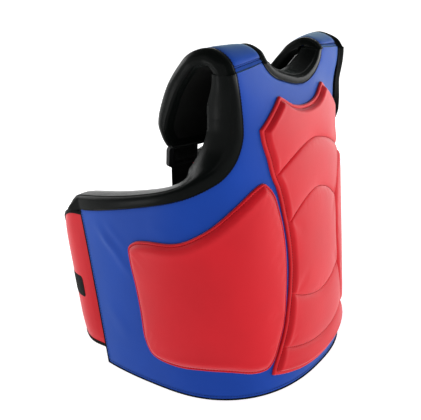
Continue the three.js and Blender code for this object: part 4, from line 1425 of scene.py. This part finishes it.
def wing_plan(run, z):
    """Point of the right wing's outer line and the direction into it, by distance from the flank."""
    edge = outer(-(BACK_EDGE_AT_HEM + BACK_EDGE_SLANT * z + BINDING + 2 * FIT), z)
    quarter = WING_CORNER * math.pi / 2
    bend = np.clip((run - WING_STRAIGHT) / quarter, 0, 1) * math.pi / 2
    before = np.minimum(run, WING_STRAIGHT)
    beyond = np.maximum(0, run - WING_STRAIGHT - quarter)
    at = np.stack([edge[:, 0] + WING_CORNER * (1 - np.cos(bend)) + beyond,
                   edge[:, 1] + before + WING_CORNER * np.sin(bend), z], 1)
    return at, np.stack([np.cos(bend), -np.sin(bend), 0 * bend], 1)


def in_wing(run, z, depth):
    at, into = wing_plan(run, z)
    return at + into * (WING_RECESS + np.asarray(depth, float))[..., None]


def wing_length():
    quarter = WING_STRAIGHT + WING_CORNER * math.pi / 2
    at, _ = wing_plan(np.array([quarter]), np.array([float(CLOSURE_Z)]))
    return quarter - WING_GAP - at[0, 0]


def wing_flat(share, v):
    run = share * (wing_length() - WING_BINDING)
    foot = table(WING_FOOT, run) + WING_BINDING
    top = table(WING_TOP, run) - WING_BINDING
    return run, foot + v * (top - foot)


def build_wings():
    share, v = np.meshgrid(*(np.linspace(0, 1, count) for count in WING_GRID), indexing="ij")
    run, z = wing_flat(share.ravel(), v.ravel())
    ends = smooth((1 - share) * WING_PUFF_BACK) * smooth(WING_PUFF_START + share * WING_PUFF_FRONT)
    rise = WING_PUFF * (1 - (2 * v - 1) ** WING_PUFF_POWER) * ends
    faces = (in_wing(run, z, depth.ravel()).reshape(*WING_GRID, 3)
             for depth in (-rise, WING_THICK + WING_INNER_PUFF * rise))
    pair("wing", sheet_solid(*faces), RED, "red_pad", "back_wing", fill=0.7)
    steps = np.linspace(0, 1, WING_EDGE_STEPS)
    over, under = (np.stack(wing_flat(steps, level), 1) for level in (1, 0))
    end = np.linspace(over[-1], under[-1], WING_END_STEPS)
    path = np.vstack([over, end[1:-1], under[::-1]])
    out = np.zeros_like(path)
    out[:len(over), 1] = 1
    out[len(over) - 1:1 - len(under), 0] = 1
    out[-len(under):, 1] = -1
    edge = edge_tube(WING_SECTION, path, out, WING_THICK, in_wing)
    pair("wing_edge", edge, BLACK, "black_edging", "wing_binding", fill=0.6)
    run, z = respaced(path + out * WING_STITCH_REACH).T
    stitches = stitch_row(in_wing(run, z, WING_STITCH_DEPTH), -wing_plan(run, z)[1])
    pair("wing_stitches", stitches, BLACK_THREAD, "black_edging")


def closure_line():
    """Distances from the right flank and half widths over the right half of the closure strap."""
    shares = clustered(CLOSURE_STEPS, CLOSURE_ENDS)
    run = CLOSURE_FROM + (wing_length() + WING_GAP - CLOSURE_FROM) * shares
    back = np.clip((CLOSURE_FROM + CLOSURE_CORNER - run) / CLOSURE_CORNER, 0, 1)
    return run, CLOSURE_HALF - CLOSURE_CORNER * (1 - np.sqrt(1 - back ** 2))


def build_closure():
    run, half = closure_line()
    shares = np.linspace(-1, 1, STRIP_COLUMNS)
    z = CLOSURE_Z + np.outer(half, shares)
    thin = STRIP_EDGE_THIN * np.abs(np.tile(shares, (len(run), 1))) ** STRIP_EDGE_POWER
    faces = []
    for depth in (CLOSURE_UNDER - CLOSURE_THICK + thin, CLOSURE_UNDER - CLOSURE_INNER_THIN * thin):
        face = in_wing(np.repeat(run, STRIP_COLUMNS), z.ravel(), depth.ravel()).reshape(*z.shape, 3)
        faces.append(np.concatenate([face, (face * (-1, 1, 1))[::-1][1:]]))
    uv = strip_uv(shares * CLOSURE_HALF, along(faces[0][:, STRIP_COLUMNS // 2]))
    piece("closure_band", sheet_solid(*faces), CLOSURE, "webbing", ["closure_strap"],
          uv=uv, sharp=STRIP_SHARP)


# Stage

# The floor's paper glows like a light table, but not in the hollow of the vest
FLOOR_GLOW = [
    # metres from the middle, glow
    (0.11, 0), (0.17, 0.76), (0.7, 0.76), (1, 1),
]
FLOOR_WHITE = (0.85, 0.85, 0.85, 1)
FLOOR_SIDES = 96
FLOOR_FROM = 2
FLOOR_ROWS = 8
SWEEP_RADIUS = 18
SWEEP_RISE = 6
SWEEP_ROWS = 16

# Lights, in metres and degrees, placed round a point above the floor
LIGHTS_AIM = 0.25
WORLD_LIGHT = 0.18
SOFTBOXES = [
    # name, azimuth, elevation, distance, width, height, radiance
    ("front_softbox", 14, 6, 2.2, 2.6, 0.7, 5.2),
    ("right_softbox", 66, 8, 2.2, 1.2, 0.8, 3.6),
    ("left_softbox", -172, 22, 2.2, 1.3, 1.1, 5.4),
    ("left_strip", -121, -11, 0.76, 0.16, 0.2, 5.5),
    ("back_softbox", 123, 18, 2.4, 1.8, 0.4, 0.8),
]


def build_stage():
    """Round white paper floor that curves up far away, as a studio sweep does."""
    n = FLOOR_SIDES
    turn = np.linspace(0, 2 * math.pi, n, endpoint=False)
    rows = [(r, 0.0) for r in np.linspace(FLOOR_FROM, SWEEP_RADIUS, FLOOR_ROWS)]
    rows += [(SWEEP_RADIUS + SWEEP_RISE * math.sin(b), SWEEP_RISE * (1 - math.cos(b)))
             for b in np.linspace(0, math.pi / 2, SWEEP_ROWS)[1:]]
    points = [(r * math.cos(a), r * math.sin(a), z) for r, z in rows for a in turn]
    faces = [list(range(n))]
    for k in range(len(rows) - 1):
        near, far = k * n, (k + 1) * n
        faces += [[far + i, far + (i + 1) % n, near + (i + 1) % n, near + i] for i in range(n)]
    mesh = bpy.data.meshes.new("floor")
    mesh.from_pydata(points, [], faces)
    mesh.shade_smooth()
    material, tree, shader = new_material("floor_paper", Roughness=0.9, Specular_IOR_Level=0.1,
                                          Base_Color=FLOOR_WHITE, Emission_Strength=1)
    place = tree.nodes.new("ShaderNodeTexCoord")
    far = tree.nodes.new("ShaderNodeVectorMath")
    far.operation = "LENGTH"
    tree.links.new(place.outputs["Object"], far.inputs[0])
    ramp = tree.nodes.new("ShaderNodeValToRGB")
    stops = ramp.color_ramp.elements
    stops.remove(stops[1])
    for k, (at, glow) in enumerate(FLOOR_GLOW):
        stop = stops[0] if k == 0 else stops.new(at)
        stop.position = at
        stop.color = (glow, glow, glow, 1)
    tree.links.new(far.outputs["Value"], ramp.inputs["Fac"])
    tree.links.new(ramp.outputs["Color"], shader.inputs["Emission Color"])
    mesh.materials.append(material)
    floor = linked("floor", mesh)


def outward(azimuth, elevation):
    """Direction from the object to something placed round it."""
    level = math.cos(elevation)
    return np.array([math.sin(azimuth) * level, -math.cos(azimuth) * level, math.sin(elevation)])


def softbox(name, azimuth, elevation, far, width, height, radiance):
    """Broad light facing the object, placed round it as the camera is."""
    light = bpy.data.lights.new(name, "AREA")
    light.shape = "RECTANGLE"
    light.size = width
    light.size_y = height
    light.energy = math.pi * width * height * radiance
    obj = linked(name, light)
    a, e = math.radians(azimuth), math.radians(elevation)
    obj.location = (0, 0, LIGHTS_AIM) + outward(a, e) * far
    obj.rotation_euler = (math.pi / 2 - e, 0, a)


def build_lights():
    world = bpy.data.worlds.new("studio")
    bpy.context.scene.world = world
    world.use_nodes = True
    background = world.node_tree.nodes["Background"]
    background.inputs["Color"].default_value = (1, 1, 1, 1)
    background.inputs["Strength"].default_value = WORLD_LIGHT
    for row in SOFTBOXES:
        softbox(*row)
    view = bpy.context.scene.view_settings
    view.view_transform = "Standard"
    view.look = "None"


def build_camera():
    data = bpy.data.cameras.new("camera")
    data.sensor_width = SENSOR_MM
    data.lens = SENSOR_MM * FOCAL_PIXELS / IMAGE_WIDTH
    data.clip_end = CLIP_METRES
    camera = linked("camera", data)
    back = outward(VIEW_AZIMUTH, VIEW_ELEVATION) * VIEW_DISTANCE
    camera.location = (np.array(VIEW_TARGET) + (0, SHIFT, 0) + back) * MM
    camera.rotation_euler = (math.pi / 2 - VIEW_ELEVATION, 0, VIEW_AZIMUTH)
    bpy.context.scene.camera = camera


build_camera()
build_cover()
build_lining()
build_hem()
build_rims()
build_side_pads()
build_centre_pad()
build_straps()
build_webbing()
build_wings()
build_closure()
build_stage()
build_lights()
